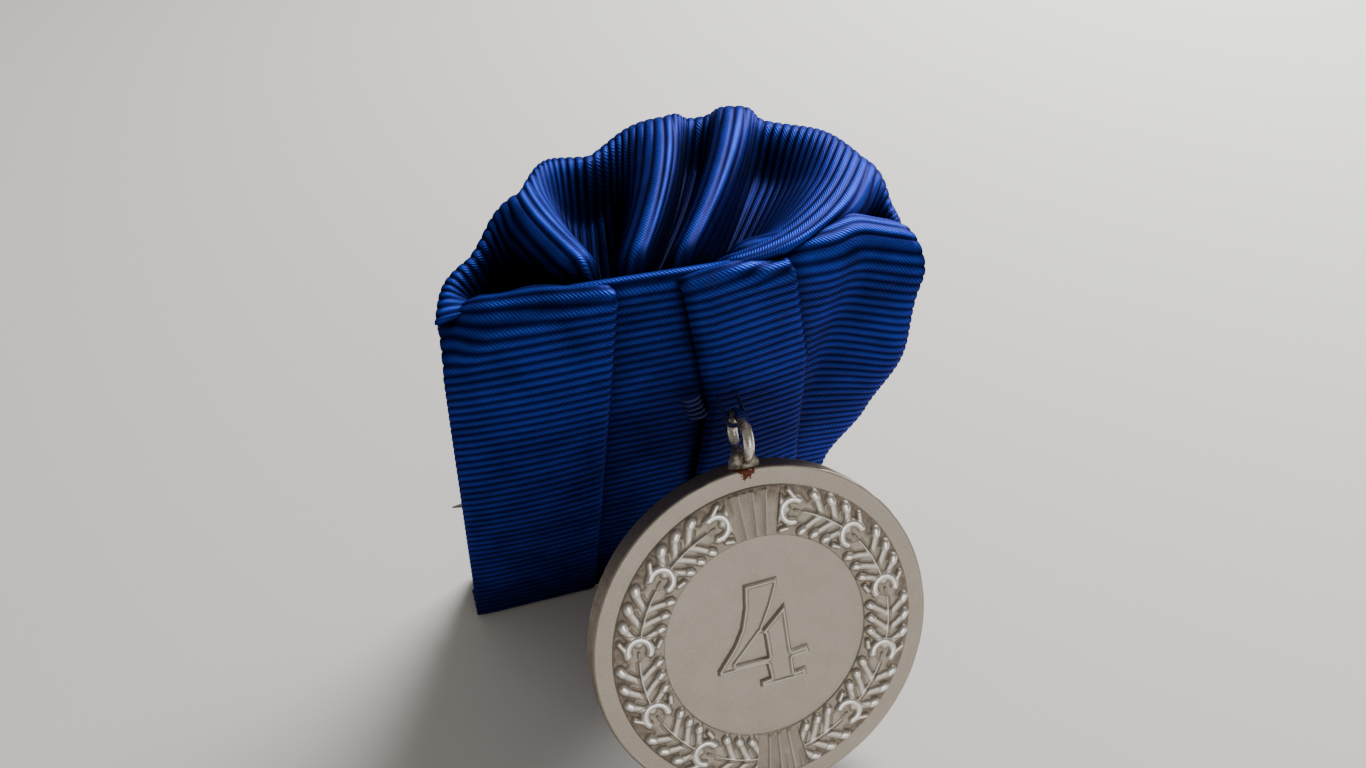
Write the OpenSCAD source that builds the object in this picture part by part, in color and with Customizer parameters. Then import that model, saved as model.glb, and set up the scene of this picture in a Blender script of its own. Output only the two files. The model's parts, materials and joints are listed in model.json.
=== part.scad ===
// Service medal hung from a pleated ribbon mount with a brooch pin behind.
// Millimetres. +X runs along the mount's width, +Y points to its back, +Z is up.
// The origin is the middle of the padding's foot, on the surface the piece stands on.
// The mount leans forward and the medal leans back, and they meet at the hanging thread.

/* [Medal] */
// Diameter of the struck disc
disc_d = 30; // [28:0.5:31]
// Thickness of the disc at its plain rim band
disc_t = 2.4; // [2.2:0.1:2.6]
// Outer diameter of the raised wreath band
wreath_outer_d = 26.8; // [25.8:0.2:27.4]
// Inner diameter of the raised wreath band, which is the field's diameter
wreath_inner_d = 18; // [17:0.2:18.4]
// Height of the wreath band above the rim band
band_h = 0.12; // [0.08:0.02:0.2]
// Height of the leaves and of the numeral above what they stand on
relief_h = 0.3; // [0.2:0.05:0.4]
// Backward lean of the disc from upright, in degrees
disc_lean = 27.5; // [24:0.5:30]
// Sideways place of the medal from the mount's middle
medal_x = 4.3; // [0:0.1:5]

/* [Hanging] */
// Wire radius of the suspension loop
loop_wire_r = 0.5; // [0.4:0.05:0.6]
// Radius of the loop's centre line
loop_r = 1.9; // [1.8:0.05:2]
// Radius of the sewing thread that the loop hangs from
thread_r = 0.22; // [0.18:0.01:0.25]
// Distance of the thread from the face of the ribbon
thread_reach = 2.65; // [2.6:0.05:3]

/* [Mount] */
// Width of the mount
mount_w = 36; // [34:0.5:38]
// Height at which the front panels fold over into the fan
fold_z = 44.5; // [42:0.5:46]
// Forward lean of the mount from upright, in degrees
mount_lean = 14; // [12:0.5:16]
// Thickness that a layer of pleated ribbon takes up
ribbon_t = 0.9; // [0.8:0.05:1]
// Thickness of the felt padding in front of the plate
padding_t = 2; // [1.8:0.1:2.2]
// Thickness of the sheet metal stiffening plate
plate_t = 0.6; // [0.5:0.1:0.8]
// Thickness of the felt lining behind the plate
lining_t = 1.2; // [1:0.1:1.4]

/* [Fan] */
// Depth of the gathered fan behind the fold
fan_depth = 24; // [21:0.5:25]
// Half width of the fan
fan_half_w = 19.5; // [18.5:0.5:20]
// Height of the ruffles above and below the fan's middle surface
ruffle_h = 1.5; // [0.8:0.1:1.8]
// Number of ruffles in the fan
ruffles = 4; // [3:1:5]

/* [Brooch] */
// Height of the brooch bar's middle, measured up the mount
brooch_along = 10; // [9.5:0.5:28]
// Length of the brooch bar
bar_l = 27; // [24:0.5:28]
// Radius of the pin wire
pin_r = 0.45; // [0.35:0.05:0.5]
// Distance of the hinge rivet from the mount's middle
hinge_x = 11.5; // [10:0.5:12]
// How far the pin's point stands out past the mount's left edge
pin_overhang = 0.6; // [0.4:0.1:2]

/* [Hidden] */

half_w = mount_w / 2;
eps = 0.02;
gap = 0.05;

// Depths of the mount's layers behind the face of the outer ribbon layer
under_y = ribbon_t;
padding_y = 2 * ribbon_t;
plate_y = padding_y + padding_t;
lining_y = plate_y + plate_t;
back_y = lining_y + lining_t;
padding_mid_y = padding_y + padding_t / 2;
face_y = -padding_mid_y / cos(mount_lean);
core_top_z = fold_z - 6.5;

// Medal, in its own frame: the disc's middle is the origin and the disc lies in X and Z
disc_r = disc_d / 2;
loop_z = disc_r + loop_r + loop_wire_r + gap;
hole_r = loop_r - loop_wire_r;
pivot_up = loop_z + hole_r - thread_r - 0.1;
disc_back_low = disc_r * cos(disc_lean) + disc_t / 2 * sin(disc_lean);
pivot_z = disc_back_low + pivot_up * cos(disc_lean);
pivot_y = face_y - pivot_z * tan(mount_lean) - thread_reach / cos(mount_lean);
disc_mid_y = pivot_y - pivot_up * sin(disc_lean);
disc_mid_z = disc_back_low;

// Brooch, in the mount's leaning frame
bar_t = 0.7;
bar_w = 5;
rivet_y = back_y + bar_t + 1.5;
lug_gap = 2.6;
lug_t = 0.6;
catch_x = -11.5;
pin_tip_x = -half_w - pin_overhang;
tip_l = 2.5;

felt = [0.45, 0.47, 0.50];
silk = [0.07, 0.16, 0.45];
silver = [0.72, 0.69, 0.64];
steel = [0.45, 0.44, 0.42];
thread_blue = [0.10, 0.20, 0.50];

// Places children in the mount's leaning frame: X width, Y depth, Z along the front
module on_mount() {
    translate([0, face_y, 0]) rotate([mount_lean, 0, 0]) children();
}

// Places children in the medal's frame
module on_medal() {
    translate([medal_x, disc_mid_y, disc_mid_z]) rotate([-disc_lean, 0, 0]) children();
}

// A flat layer of the mount with the given outline, cut level at its foot and at its top
module layer(outline, depth, thickness, top) {
    intersection() {
        on_mount()
            translate([0, depth + thickness, 0])
                rotate([90, 0, 0])
                    linear_extrude(thickness) polygon(outline);
        translate([-mount_w, -2 * mount_w, 0]) cube([2 * mount_w, 4 * mount_w, top]);
    }
}

function panel(x0, x1) = [[x0, -5], [x1, -5], [x1, mount_w * 2], [x0, mount_w * 2]];

module front_padding() {
    color(felt) layer(panel(-half_w + 1, half_w - 1), padding_y, padding_t, core_top_z);
}

module base_plate() {
    color(steel) layer(panel(-half_w + 1.5, half_w - 1.5), plate_y, plate_t, core_top_z - 1);
}

module back_lining() {
    color(felt) layer(panel(-half_w + 0.5, half_w - 0.5), lining_y, lining_t, core_top_z);
}

// Left panel of the ribbon: the outer layer from the left selvedge to the pleat
left_pleat_x = -5.9;
module ribbon_left_wing() {
    color(silk) layer(panel(-half_w, left_pleat_x), 0, ribbon_t, fold_z);
}

// The part of the left ribbon that is tucked under the wing and the centre strip
module ribbon_left_under() {
    color(silk) layer(panel(-half_w + 0.6, 3), under_y, ribbon_t, fold_z);
}

// Slanting outer layer whose lower left corner holds the medal
strip_outline = [[3.5, -5], [14, -5], [13.4, 18], [10.8, 35], [6.2, 50], [-1.6, 50], [3.0, 32]];
module ribbon_centre_strip() {
    color(silk) layer(strip_outline, 0, ribbon_t, fold_z);
}

// Right panel, whose selvedge swells outwards at mid height
wing_outline = [[3, -5], [17.2, -5], [17.8, 15], [19.6, 24], [20.2, 32], [19, 42], [18, 50], [3, 50]];
module ribbon_right_wing() {
    color(silk) layer(wing_outline, under_y, ribbon_t, fold_z);
}

// Ribbon end turned up over the lining behind
hem_h = 5.5;
module ribbon_hem() {
    color(silk) layer(panel(-half_w + 0.8, half_w - 0.8), back_y, 0.6, hem_h);
}

// The fan is a ruffled sheet between a short gathered edge and the outer selvedge
fan_t = 1.3;
fan_z = fold_z + gap + fan_t;
fold_front_y = face_y - fold_z * tan(mount_lean);
gather_x = -4;
gather_half = 4;
fan_arcs = 48;
fan_rings = 6;

function fan_outer(a) = [1 + fan_half_w * cos(a), fold_front_y + fan_depth * sin(a) + 6 * sin(a) * cos(a)];
function fan_inner(a) = [gather_x + gather_half * cos(a), fold_front_y + 1.2 * sin(a)];
function fan_plan(a, v) = fan_inner(a) * (1 - v) + fan_outer(a) * v;
function ruffle(a, v) = ruffle_h * sin(a) * sin(v * 90) * (0.3 - cos(a * 2 * ruffles));
function fan_top(a, v) = let (p = fan_plan(a, v)) [p.x, p.y, fan_z + max(ruffle(a, v), 0) * 1.2];
function fan_low(a, v) = let (p = fan_plan(a, v)) [p.x, p.y, fan_z - fan_t + max(ruffle(a, v), 0)];

module ribbon_fan() {
    cols = fan_rings + 1;
    count = (fan_arcs + 1) * cols;
    angles = [for (i = [0:fan_arcs]) 180 * i / fan_arcs];
    steps = [for (j = [0:fan_rings]) j / fan_rings];
    points = concat([for (a = angles) for (v = steps) fan_top(a, v)],
                    [for (a = angles) for (v = steps) fan_low(a, v)]);
    top = [for (i = [0:fan_arcs - 1]) for (j = [0:fan_rings - 1])
        let (k = i * cols + j)
        each [[k, k + 1, k + cols + 1], [k, k + cols + 1, k + cols]]];
    bottom = [for (f = top) [f[2] + count, f[1] + count, f[0] + count]];
    inner = [for (i = [0:fan_arcs - 1])
        let (k = i * cols)
        each [[k, k + cols, k + cols + count], [k, k + cols + count, k + count]]];
    outer = [for (i = [0:fan_arcs - 1])
        let (k = i * cols + fan_rings)
        each [[k, k + cols + count, k + cols], [k, k + count, k + cols + count]]];
    right = [for (j = [0:fan_rings - 1]) each [[j, j + 1 + count, j + 1], [j, j + count, j + 1 + count]]];
    last = fan_arcs * cols;
    left = [for (j = [last:last + fan_rings - 1])
        each [[j, j + 1, j + 1 + count], [j, j + 1 + count, j + count]]];
    color(silk) polyhedron(points, concat(top, bottom, inner, outer, right, left), convexity = 6);
}

// A short straight stitch that lies along X
module stitch(length, r) {
    translate([-length / 2, 0, 0]) rotate([0, 90, 0]) cylinder(h = length, r = r, $fn = 24);
}

// Thread bars that hold the gathered edge down on the fold
module gather_stitches() {
    color(thread_blue)
        for (i = [-1:1])
            translate([gather_x + 2.6 * i, fold_front_y + 2, fan_z + 0.25])
                rotate([0, 0, 15 * i]) stitch(2.2, 0.16);
}

// Small stitches beside the hanging thread that tack the strip's corner down
module bar_tack() {
    color(thread_blue)
        on_mount()
            for (i = [0:4])
                translate([medal_x - 2.4 - 0.25 * i, -0.2, pivot_z / cos(mount_lean) - 1.2 + 0.7 * i])
                    rotate([0, -12, 0]) stitch(1.5, 0.18);
}

// Overcast stitches round three sides of the lining
stitch_pitch = 2.4;
module lining_stitches() {
    side_count = floor((core_top_z - hem_h - 8) / stitch_pitch);
    top_count = floor((mount_w - 4) / stitch_pitch);
    color(thread_blue)
        on_mount() {
            for (side = [-1, 1])
                for (i = [0:side_count])
                    translate([side * (half_w - 1.4), back_y + 0.17, hem_h + 4 + stitch_pitch * i])
                        rotate([0, 25 * side, 0]) stitch(1.5, 0.15);
            for (i = [0:top_count])
                translate([-half_w + 3 + stitch_pitch * i, back_y + 0.17, core_top_z - 2])
                    rotate([0, 65, 0]) stitch(1.5, 0.15);
        }
}

// Flat bar with round ends, pierced for its two rivets
bar_rivet_x = [-7.5, 7];
module brooch_bar() {
    color(steel)
        on_mount()
            translate([0, back_y, brooch_along])
                rotate([-90, 0, 0])
                    difference() {
                        union() {
                            translate([-bar_l / 2, -bar_w / 2, 0]) cube([bar_l, bar_w, bar_t]);
                            for (side = [-1, 1])
                                translate([side * bar_l / 2, 0, 0]) cylinder(h = bar_t, d = bar_w, $fn = 48);
                        }
                        for (x = bar_rivet_x) translate([x, 0, -1]) cylinder(h = 4, r = 0.75, $fn = 32);
                    }
}

// Round-headed rivets that fasten the bar through the lining
module brooch_rivets() {
    color(steel)
        on_mount()
            for (x = bar_rivet_x)
                translate([x, back_y + gap, brooch_along])
                    rotate([-90, 0, 0]) {
                        cylinder(h = bar_t, r = 0.7, $fn = 32);
                        translate([0, 0, bar_t - gap]) cylinder(h = 0.35, r1 = 1.2, r2 = 0.8, $fn = 32);
                    }
}

// Two lugs folded up from the bar that carry the hinge rivet
module hinge_lugs() {
    color(steel)
        on_mount()
            difference() {
                for (side = [-1, 1])
                    translate([hinge_x, 0, brooch_along + side * (lug_gap + lug_t) / 2 - lug_t / 2]) {
                        translate([-1.3, back_y + bar_t, 0]) cube([2.6, 1.5, lug_t]);
                        translate([0, rivet_y, 0]) cylinder(h = lug_t, r = 1.3, $fn = 48);
                    }
                translate([hinge_x, rivet_y, brooch_along - 5]) cylinder(h = 10, r = 0.45, $fn = 32);
            }
}

module hinge_rivet() {
    shank = lug_gap + 2 * lug_t;
    color(steel)
        on_mount()
            translate([hinge_x, rivet_y, brooch_along - shank / 2]) {
                cylinder(h = shank, r = 0.4, $fn = 32);
                for (z = [-0.35, shank]) translate([0, 0, z]) cylinder(h = 0.35, r = 0.75, $fn = 32);
            }
}

// Trough that the pin rests in, open on its outer side
module pin_catch() {
    wall = 0.5;
    slot_r = pin_r + 0.12;
    color(steel)
        on_mount()
            translate([catch_x, 0, brooch_along]) {
                translate([-1.5, back_y + bar_t, -0.9]) cube([3, rivet_y - slot_r - back_y - bar_t, 1.8]);
                for (side = [-1, 1])
                    translate([-1.5, rivet_y - slot_r, side * (slot_r + wall / 2) - wall / 2])
                        cube([3, 2.2 * slot_r, wall]);
            }
}

// Sharp pin with a rolled eye that turns on the hinge rivet
module pin_wire() {
    eye_h = lug_gap - 0.2;
    length = hinge_x - pin_tip_x - tip_l;
    color(steel)
        on_mount()
            translate([hinge_x, rivet_y, brooch_along])
                difference() {
                    union() {
                        translate([0, 0, -eye_h / 2]) cylinder(h = eye_h, r = 1.05, $fn = 48);
                        rotate([0, -90, 0]) cylinder(h = length, r = pin_r, $fn = 32);
                        translate([-length, 0, 0])
                            rotate([0, -90, 0]) cylinder(h = tip_l, r1 = pin_r, r2 = 0.08, $fn = 32);
                    }
                    translate([0, 0, -5]) cylinder(h = 10, r = 0.45, $fn = 32);
                }
}

// Short sling of thread that passes through the loop and goes back into the ribbon
module hanging_thread() {
    half = 0.85;
    back = thread_reach - gap;
    color(thread_blue)
        translate([medal_x, pivot_y, pivot_z])
            rotate([mount_lean, 0, 0]) {
                stitch(2 * half, thread_r);
                for (side = [-1, 1])
                    translate([side * half, 0, 0]) {
                        sphere(r = thread_r, $fn = 32);
                        rotate([-90, 0, 0]) cylinder(h = back, r = thread_r, $fn = 24);
                    }
            }
}

module loop_ring(extra) {
    translate([0, 0, loop_z])
        rotate([0, 90, 0])
            rotate_extrude($fn = 96) translate([loop_r, 0]) circle(r = loop_wire_r + extra, $fn = 48);
}

module suspension_loop() {
    color(silver) on_medal() loop_ring(0);
}

// Solder foot that joins the loop to the rim
module loop_solder() {
    color([0.55, 0.50, 0.46])
        on_medal()
            difference() {
                translate([0, 0, disc_r - 0.2]) cylinder(h = 1.5, r1 = 1.15, r2 = 0.75, $fn = 48);
                loop_ring(eps);
                rotate([90, 0, 0]) cylinder(h = 10, r = disc_r + eps, center = true, $fn = 180);
            }
}

// A raised shape on the medal's front, with its base sunk into what it stands on
module struck(base, height) {
    translate([0, -disc_t / 2 - base + 0.1, 0]) rotate([90, 0, 0]) linear_extrude(height + 0.1) children();
}

// Lobed oak leaf that runs round the wreath band from angle a0, anticlockwise seen from the front
leaf_span = 30;
leaf_steps = 20;
wreath_mid_r = (wreath_outer_d + wreath_inner_d) / 4;
wreath_half = (wreath_outer_d - wreath_inner_d) / 4;
function leaf_half(u) = wreath_half * (0.28 + 0.55 * sin(180 * pow(u, 0.8)) + 0.16 * sin(1080 * u));
function leaf_edge(u, side) =
    (wreath_mid_r + side * leaf_half(u)) * [sin(leaf_span * u), cos(leaf_span * u)];
module oak_leaf() {
    polygon(concat([for (i = [0:leaf_steps]) leaf_edge(i / leaf_steps, 1)],
                   [for (i = [leaf_steps:-1:0]) leaf_edge(i / leaf_steps, -1)]));
}

// Five leaves climb each side of the wreath, and a fluted tie joins the sides top and bottom
leaves_a_side = 5;
tie_half = 11;
module wreath() {
    pitch = (180 - 2 * tie_half) / leaves_a_side;
    struck(band_h, relief_h)
        for (side = [0, 1])
            mirror([side, 0])
                for (i = [0:leaves_a_side - 1]) rotate(-tie_half - pitch * i) oak_leaf();
    for (up = [0, 180])
        struck(band_h, relief_h)
            rotate(up)
                for (i = [-2:2])
                    rotate(4 * i) translate([-0.25, wreath_inner_d / 2 + 0.1]) square([0.5, 2 * wreath_half - 0.2]);
}

// Plain figure four that stands in the field
module figure_four() {
    struck(0, relief_h) {
        polygon([[-0.3, 4.6], [0.9, 4.6], [-0.4, 1.2], [-2.4, -1.4], [3.6, -1.4], [3.6, -2.3],
                 [-4.1, -2.3], [-4.1, -1.5], [-1.3, 1.6]]);
        polygon([[1.2, 1.6], [2.2, 1.9], [2.2, -3.9], [3.1, -3.9], [3.1, -4.6], [0.3, -4.6],
                 [0.3, -3.9], [1.2, -3.9]]);
    }
}

module medal_disc() {
    color(silver)
        on_medal() {
            rotate([90, 0, 0]) cylinder(h = disc_t, r = disc_r, center = true, $fn = 180);
            struck(0, band_h)
                difference() {
                    circle(d = wreath_outer_d, $fn = 180);
                    circle(d = wreath_inner_d, $fn = 180);
                }
            wreath();
            figure_four();
        }
}

front_padding();
base_plate();
back_lining();
ribbon_left_wing();
ribbon_left_under();
ribbon_centre_strip();
ribbon_right_wing();
ribbon_fan();
ribbon_hem();
gather_stitches();
bar_tack();
lining_stitches();
brooch_bar();
brooch_rivets();
hinge_lugs();
hinge_rivet();
pin_catch();
pin_wire();
hanging_thread();
suspension_loop();
loop_solder();
medal_disc();
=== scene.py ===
"""Service medal on a pleated ribbon mount: the looks of every piece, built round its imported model.

Lengths in this file are in millimetres in the row frame, and become metres when a mesh is made.
"""

import json
import logging
import math
from dataclasses import dataclass, field
from enum import Enum
from typing import Callable, Optional, Sequence

import bmesh
import bpy
import numpy as np
from mathutils import Matrix, Vector, noise

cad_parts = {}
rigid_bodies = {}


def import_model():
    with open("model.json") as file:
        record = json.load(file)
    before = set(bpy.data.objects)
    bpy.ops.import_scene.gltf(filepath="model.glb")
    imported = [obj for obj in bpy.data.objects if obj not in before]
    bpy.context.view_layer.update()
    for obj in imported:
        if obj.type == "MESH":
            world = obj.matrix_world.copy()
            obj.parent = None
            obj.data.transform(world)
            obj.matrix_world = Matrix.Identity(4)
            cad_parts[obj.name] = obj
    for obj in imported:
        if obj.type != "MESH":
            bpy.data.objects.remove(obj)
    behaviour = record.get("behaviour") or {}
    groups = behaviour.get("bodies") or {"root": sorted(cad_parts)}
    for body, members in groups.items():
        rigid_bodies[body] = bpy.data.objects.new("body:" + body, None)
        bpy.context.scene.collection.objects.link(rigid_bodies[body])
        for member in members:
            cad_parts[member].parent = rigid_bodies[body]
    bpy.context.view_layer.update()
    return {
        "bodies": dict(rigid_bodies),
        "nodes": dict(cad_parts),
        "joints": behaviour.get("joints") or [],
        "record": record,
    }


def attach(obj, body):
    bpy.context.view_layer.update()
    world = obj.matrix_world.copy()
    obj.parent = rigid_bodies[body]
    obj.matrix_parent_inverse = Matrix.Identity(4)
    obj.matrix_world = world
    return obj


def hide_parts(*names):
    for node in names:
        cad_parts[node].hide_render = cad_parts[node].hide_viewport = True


log = logging.getLogger("medal")
MM = 0.001
Array = np.ndarray


# ---------------------------------------------------------------- small helpers


def linear(colour: str) -> tuple[float, float, float, float]:
    """Turns an sRGB hex colour into linear light.

    Args:
        colour: Six hex digits, such as "a59b8f".

    Returns:
        Red, green, blue and an alpha of 1.
    """
    parts = [int(colour[i:i + 2], 16) / 255 for i in (0, 2, 4)]
    lit = [c / 12.92 if c <= 0.04045 else ((c + 0.055) / 1.055) ** 2.4 for c in parts]
    return (lit[0], lit[1], lit[2], 1.0)


def smooth(value: Array, low: float, high: float) -> Array:
    """Rises smoothly from 0 at low to 1 at high."""
    t = np.clip((value - low) / (high - low), 0, 1)
    return t * t * (3 - 2 * t)


def add_node(tree: bpy.types.NodeTree, kind: str, settings: Optional[dict] = None,
             **links: object) -> bpy.types.Node:
    """Adds a node with its settings and inputs.

    Args:
        tree: The tree that gets the node.
        kind: Blender's name for the node's type.
        settings: Attributes of the node, such as operation or data_type.
        links: Each is an input's name (underscores for spaces) or "i" and its place; the value is
            a socket to link or a constant to set.

    Returns:
        The new node.
    """
    node = tree.nodes.new(kind)
    for name, value in (settings or {}).items():
        setattr(node, name, value)
    for name, value in links.items():
        socket = node.inputs[int(name[1:])] if name[1:].isdigit() else node.inputs[name.replace("_", " ")]
        if isinstance(value, bpy.types.NodeSocket):
            tree.links.new(value, socket)
        else:
            socket.default_value = value
    return node


def grid_quads(rows: int, cols: int, start: int = 0, flip: bool = False) -> Array:
    """Quads of a grid of vertices laid out row by row."""
    i, j = np.meshgrid(np.arange(rows - 1), np.arange(cols - 1), indexing="ij")
    a = (start + i * cols + j).ravel()
    order = (a, a + cols, a + cols + 1, a + 1) if flip else (a, a + 1, a + cols + 1, a + cols)
    return np.stack(order, axis=1)


def border_ring(rows: int, cols: int) -> Array:
    """The vertices round the border of a grid laid out row by row."""
    return np.array([j for j in range(cols)] + [i * cols + cols - 1 for i in range(1, rows)]
                    + [(rows - 1) * cols + j for j in range(cols - 2, -1, -1)]
                    + [i * cols for i in range(rows - 2, 0, -1)])


def shell_faces(rows: int, cols: int) -> Array:
    """Quads of a closed shell of two equal grids, the front one first, joined round their border."""
    n = rows * cols
    ring = border_ring(rows, cols)
    after = np.roll(ring, -1)
    walls = np.stack((after, ring, ring + n, after + n), axis=1)
    return np.concatenate((grid_quads(rows, cols), grid_quads(rows, cols, n, True), walls))


def make_mesh(name: str, points: Array, faces: Sequence, uv: Optional[Array] = None,
              attributes: Optional[dict[str, Array]] = None, outward: bool = True) -> bpy.types.Object:
    """Makes a smooth-shaded mesh object from points in millimetres.

    Args:
        name: The object's name.
        points: N by 3 array in the row frame, in millimetres.
        faces: Faces as rows of vertex numbers.
        uv: N by 2 array that gives each vertex its place on the cloth, in millimetres.
        attributes: Float values per vertex, by name.
        outward: Whether the faces are turned outwards here.

    Returns:
        The object, at the origin, in the scene.
    """
    mesh = bpy.data.meshes.new(name)
    mesh.from_pydata((np.asarray(points, float) * MM).tolist(), [], np.asarray(faces).tolist()
                     if isinstance(faces, np.ndarray) else faces)
    for key, values in (attributes or {}).items():
        layer = mesh.attributes.new(key, "FLOAT", "POINT")
        layer.data.foreach_set("value", np.asarray(values, np.float32).ravel())
    if uv is not None:
        layer = mesh.uv_layers.new(name="cloth")
        corner = np.zeros(len(mesh.loops), np.int32)
        mesh.loops.foreach_get("vertex_index", corner)
        layer.data.foreach_set("uv", np.asarray(uv, np.float32)[corner].ravel())
    if outward:
        work = bmesh.new()
        work.from_mesh(mesh)
        bmesh.ops.recalc_face_normals(work, faces=work.faces)
        work.to_mesh(mesh)
        work.free()
    mesh.polygons.foreach_set("use_smooth", [True] * len(mesh.polygons))
    piece = bpy.data.objects.new(name, mesh)
    bpy.context.scene.collection.objects.link(piece)
    return piece


def merged(parts: Sequence[tuple[Array, Sequence]]) -> tuple[Array, list]:
    """Puts several (points, faces) pairs into one."""
    points, faces, start = [], [], 0
    for p, f in parts:
        points.append(np.asarray(p, float))
        faces += [[int(k) + start for k in face] for face in f]
        start += len(p)
    return np.concatenate(points), faces


def ring_faces(rings: int, around: int, wrap: bool = False) -> list[list[int]]:
    """Quads between rings of vertices; wrap joins the last ring to the first."""
    return [[i * around + k, i * around + (k + 1) % around, (i + 1) % rings * around + (k + 1) % around,
             (i + 1) % rings * around + k]
            for i in range(rings if wrap else rings - 1) for k in range(around)]


def closing_faces(rings: int, around: int) -> list[list[int]]:
    """Triangles that close both ends of a row of rings on the two middle points that follow them."""
    last, end = rings * around, (rings - 1) * around
    return ([[last, (k + 1) % around, k] for k in range(around)]
            + [[last + 1, end + k, end + (k + 1) % around] for k in range(around)])


def tube(path: Array, radius: Array | float, sides: int = 12, caps: bool = True) -> tuple[Array, list]:
    """A round tube along a path, closed at both ends.

    Args:
        path: N by 3 points.
        radius: One radius, or one for each point.
        sides: Corners of the section.
        caps: Whether the ends are closed.

    Returns:
        Points and faces.
    """
    path = np.asarray(path, float)
    radius = np.broadcast_to(np.asarray(radius, float), (len(path),))
    ahead = np.gradient(path, axis=0)
    ahead /= np.linalg.norm(ahead, axis=1, keepdims=True)
    side = np.cross(ahead[0], (0.3, 0.2, 1.0))
    rings = []
    for p, t, r in zip(path, ahead, radius):
        side = side - t * side.dot(t)
        side /= np.linalg.norm(side)
        other = np.cross(t, side)
        turn = np.arange(sides) * 2 * math.pi / sides
        rings.append(p + r * (np.cos(turn)[:, None] * side + np.sin(turn)[:, None] * other))
    n = len(path)
    faces = ring_faces(n, sides)
    if caps:
        faces += [list(range(sides))[::-1], [(n - 1) * sides + k for k in range(sides)]]
    return np.concatenate(rings), faces


def bezier(points: Sequence[Sequence[float]], steps: int) -> Array:
    """A smooth curve through the given points, by Catmull-Rom."""
    p = np.asarray(points, float)
    p = np.concatenate(([2 * p[0] - p[1]], p, [2 * p[-1] - p[-2]]))
    out = []
    for k in range(1, len(p) - 2):
        t = np.linspace(0, 1, steps, endpoint=False)[:, None]
        a, b, c, d = p[k - 1:k + 3]
        out.append(0.5 * (2 * b + (c - a) * t + (2 * a - 5 * b + 4 * c - d) * t ** 2
                          + (3 * b - a - 3 * c + d) * t ** 3))
    return np.concatenate(out + [p[-2][None]])


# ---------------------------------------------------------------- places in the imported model


@dataclass(frozen=True)
class Lean:
    """A frame turned about X, such as the leaning mount or the leaning medal.

    Attributes:
        angle: Forward lean in degrees; a backward lean is below zero.
        origin: The frame's origin in the row frame.
    """

    angle: float
    origin: tuple[float, float, float]

    def place(self, points: Array) -> Array:
        """Takes points of this frame to the row frame."""
        c, s = math.cos(math.radians(self.angle)), math.sin(math.radians(self.angle))
        p = np.asarray(points, float)
        x, y, z = p[..., 0], p[..., 1], p[..., 2]
        ox, oy, oz = self.origin
        return np.stack((x + ox, y * c - z * s + oy, y * s + z * c + oz), axis=-1)

    def matrix(self) -> Matrix:
        """The same move as a matrix in metres."""
        return (Matrix.Translation(Vector(self.origin) * MM)
                @ Matrix.Rotation(math.radians(self.angle), 4, "X"))


@dataclass
class Places:
    """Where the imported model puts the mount, the medal and the brooch.

    Attributes:
        joints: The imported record's joints by name.
        mount_lean: Forward lean of the mount, in degrees.
        disc_lean: Backward lean of the medal, in degrees.
        pivot_up: Distance from the disc's middle up to the hanging thread.
    """

    joints: dict[str, dict]
    mount_lean: float = 14.0
    disc_lean: float = 27.5
    pivot_up: float = 18.53

    @classmethod
    def read(cls, frame: dict) -> "Places":
        """Takes the joints from the loaded frame."""
        return cls({joint["name"]: joint for joint in frame["joints"]})

    def pivot(self) -> Array:
        """The point that the medal hangs from."""
        return np.array(self.joints["medal_tilt"]["pos_m"], float) / MM

    def hinge(self) -> Array:
        """The middle of the pin's hinge."""
        return np.array(self.joints["pin_swing"]["pos_m"], float) / MM

    def mount(self) -> Lean:
        """The mount's frame: X width, Y depth from the ribbon's face, Z along the front."""
        lean = math.radians(self.mount_lean)
        rivet_depth, rivet_along = 7.8, 10.0
        hinge = self.hinge()
        face = hinge[1] - (rivet_depth * math.cos(lean) - rivet_along * math.sin(lean))
        return Lean(self.mount_lean, (0.0, float(face), 0.0))

    def medal(self) -> Lean:
        """The medal's frame: the disc's middle is the origin and its front faces -Y."""
        lean = math.radians(self.disc_lean)
        middle = self.pivot() - self.pivot_up * np.array((0.0, math.sin(lean), math.cos(lean)))
        return Lean(-self.disc_lean, tuple(float(c) for c in middle))

    def sling(self) -> Lean:
        """The hanging thread's frame, at the medal's pivot."""
        return Lean(self.mount_lean, tuple(float(c) for c in self.pivot()))


# ---------------------------------------------------------------- finishes


class Finish:
    """A finish that makes its Blender material once."""

    name = "finish"

    def material(self) -> bpy.types.Material:
        """The material, made on first use."""
        found = bpy.data.materials.get(self.name)
        if found is None:
            found = bpy.data.materials.new(self.name)
            found.use_nodes = True
            self.wire(found.node_tree, found.node_tree.nodes["Principled BSDF"])
        return found

    def wire(self, tree: bpy.types.NodeTree, shader: bpy.types.Node) -> None:
        """Adds the finish's nodes."""
        raise NotImplementedError

    def put_on(self, piece: bpy.types.Object) -> None:
        """Makes this the only material of a piece."""
        piece.data.materials.clear()
        piece.data.materials.append(self.material())


def ramp(tree: bpy.types.NodeTree, factor: object,
         stops: Sequence[tuple[float, str]]) -> bpy.types.NodeSocket:
    """A colour ramp with sRGB hex stops; returns its colour socket."""
    node = add_node(tree, "ShaderNodeValToRGB", None, Fac=factor)
    while len(node.color_ramp.elements) < len(stops):
        node.color_ramp.elements.new(0.5)
    for element, (place, colour) in zip(node.color_ramp.elements, stops):
        element.position = place
        element.color = linear(colour)
    return node.outputs["Color"]


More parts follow.
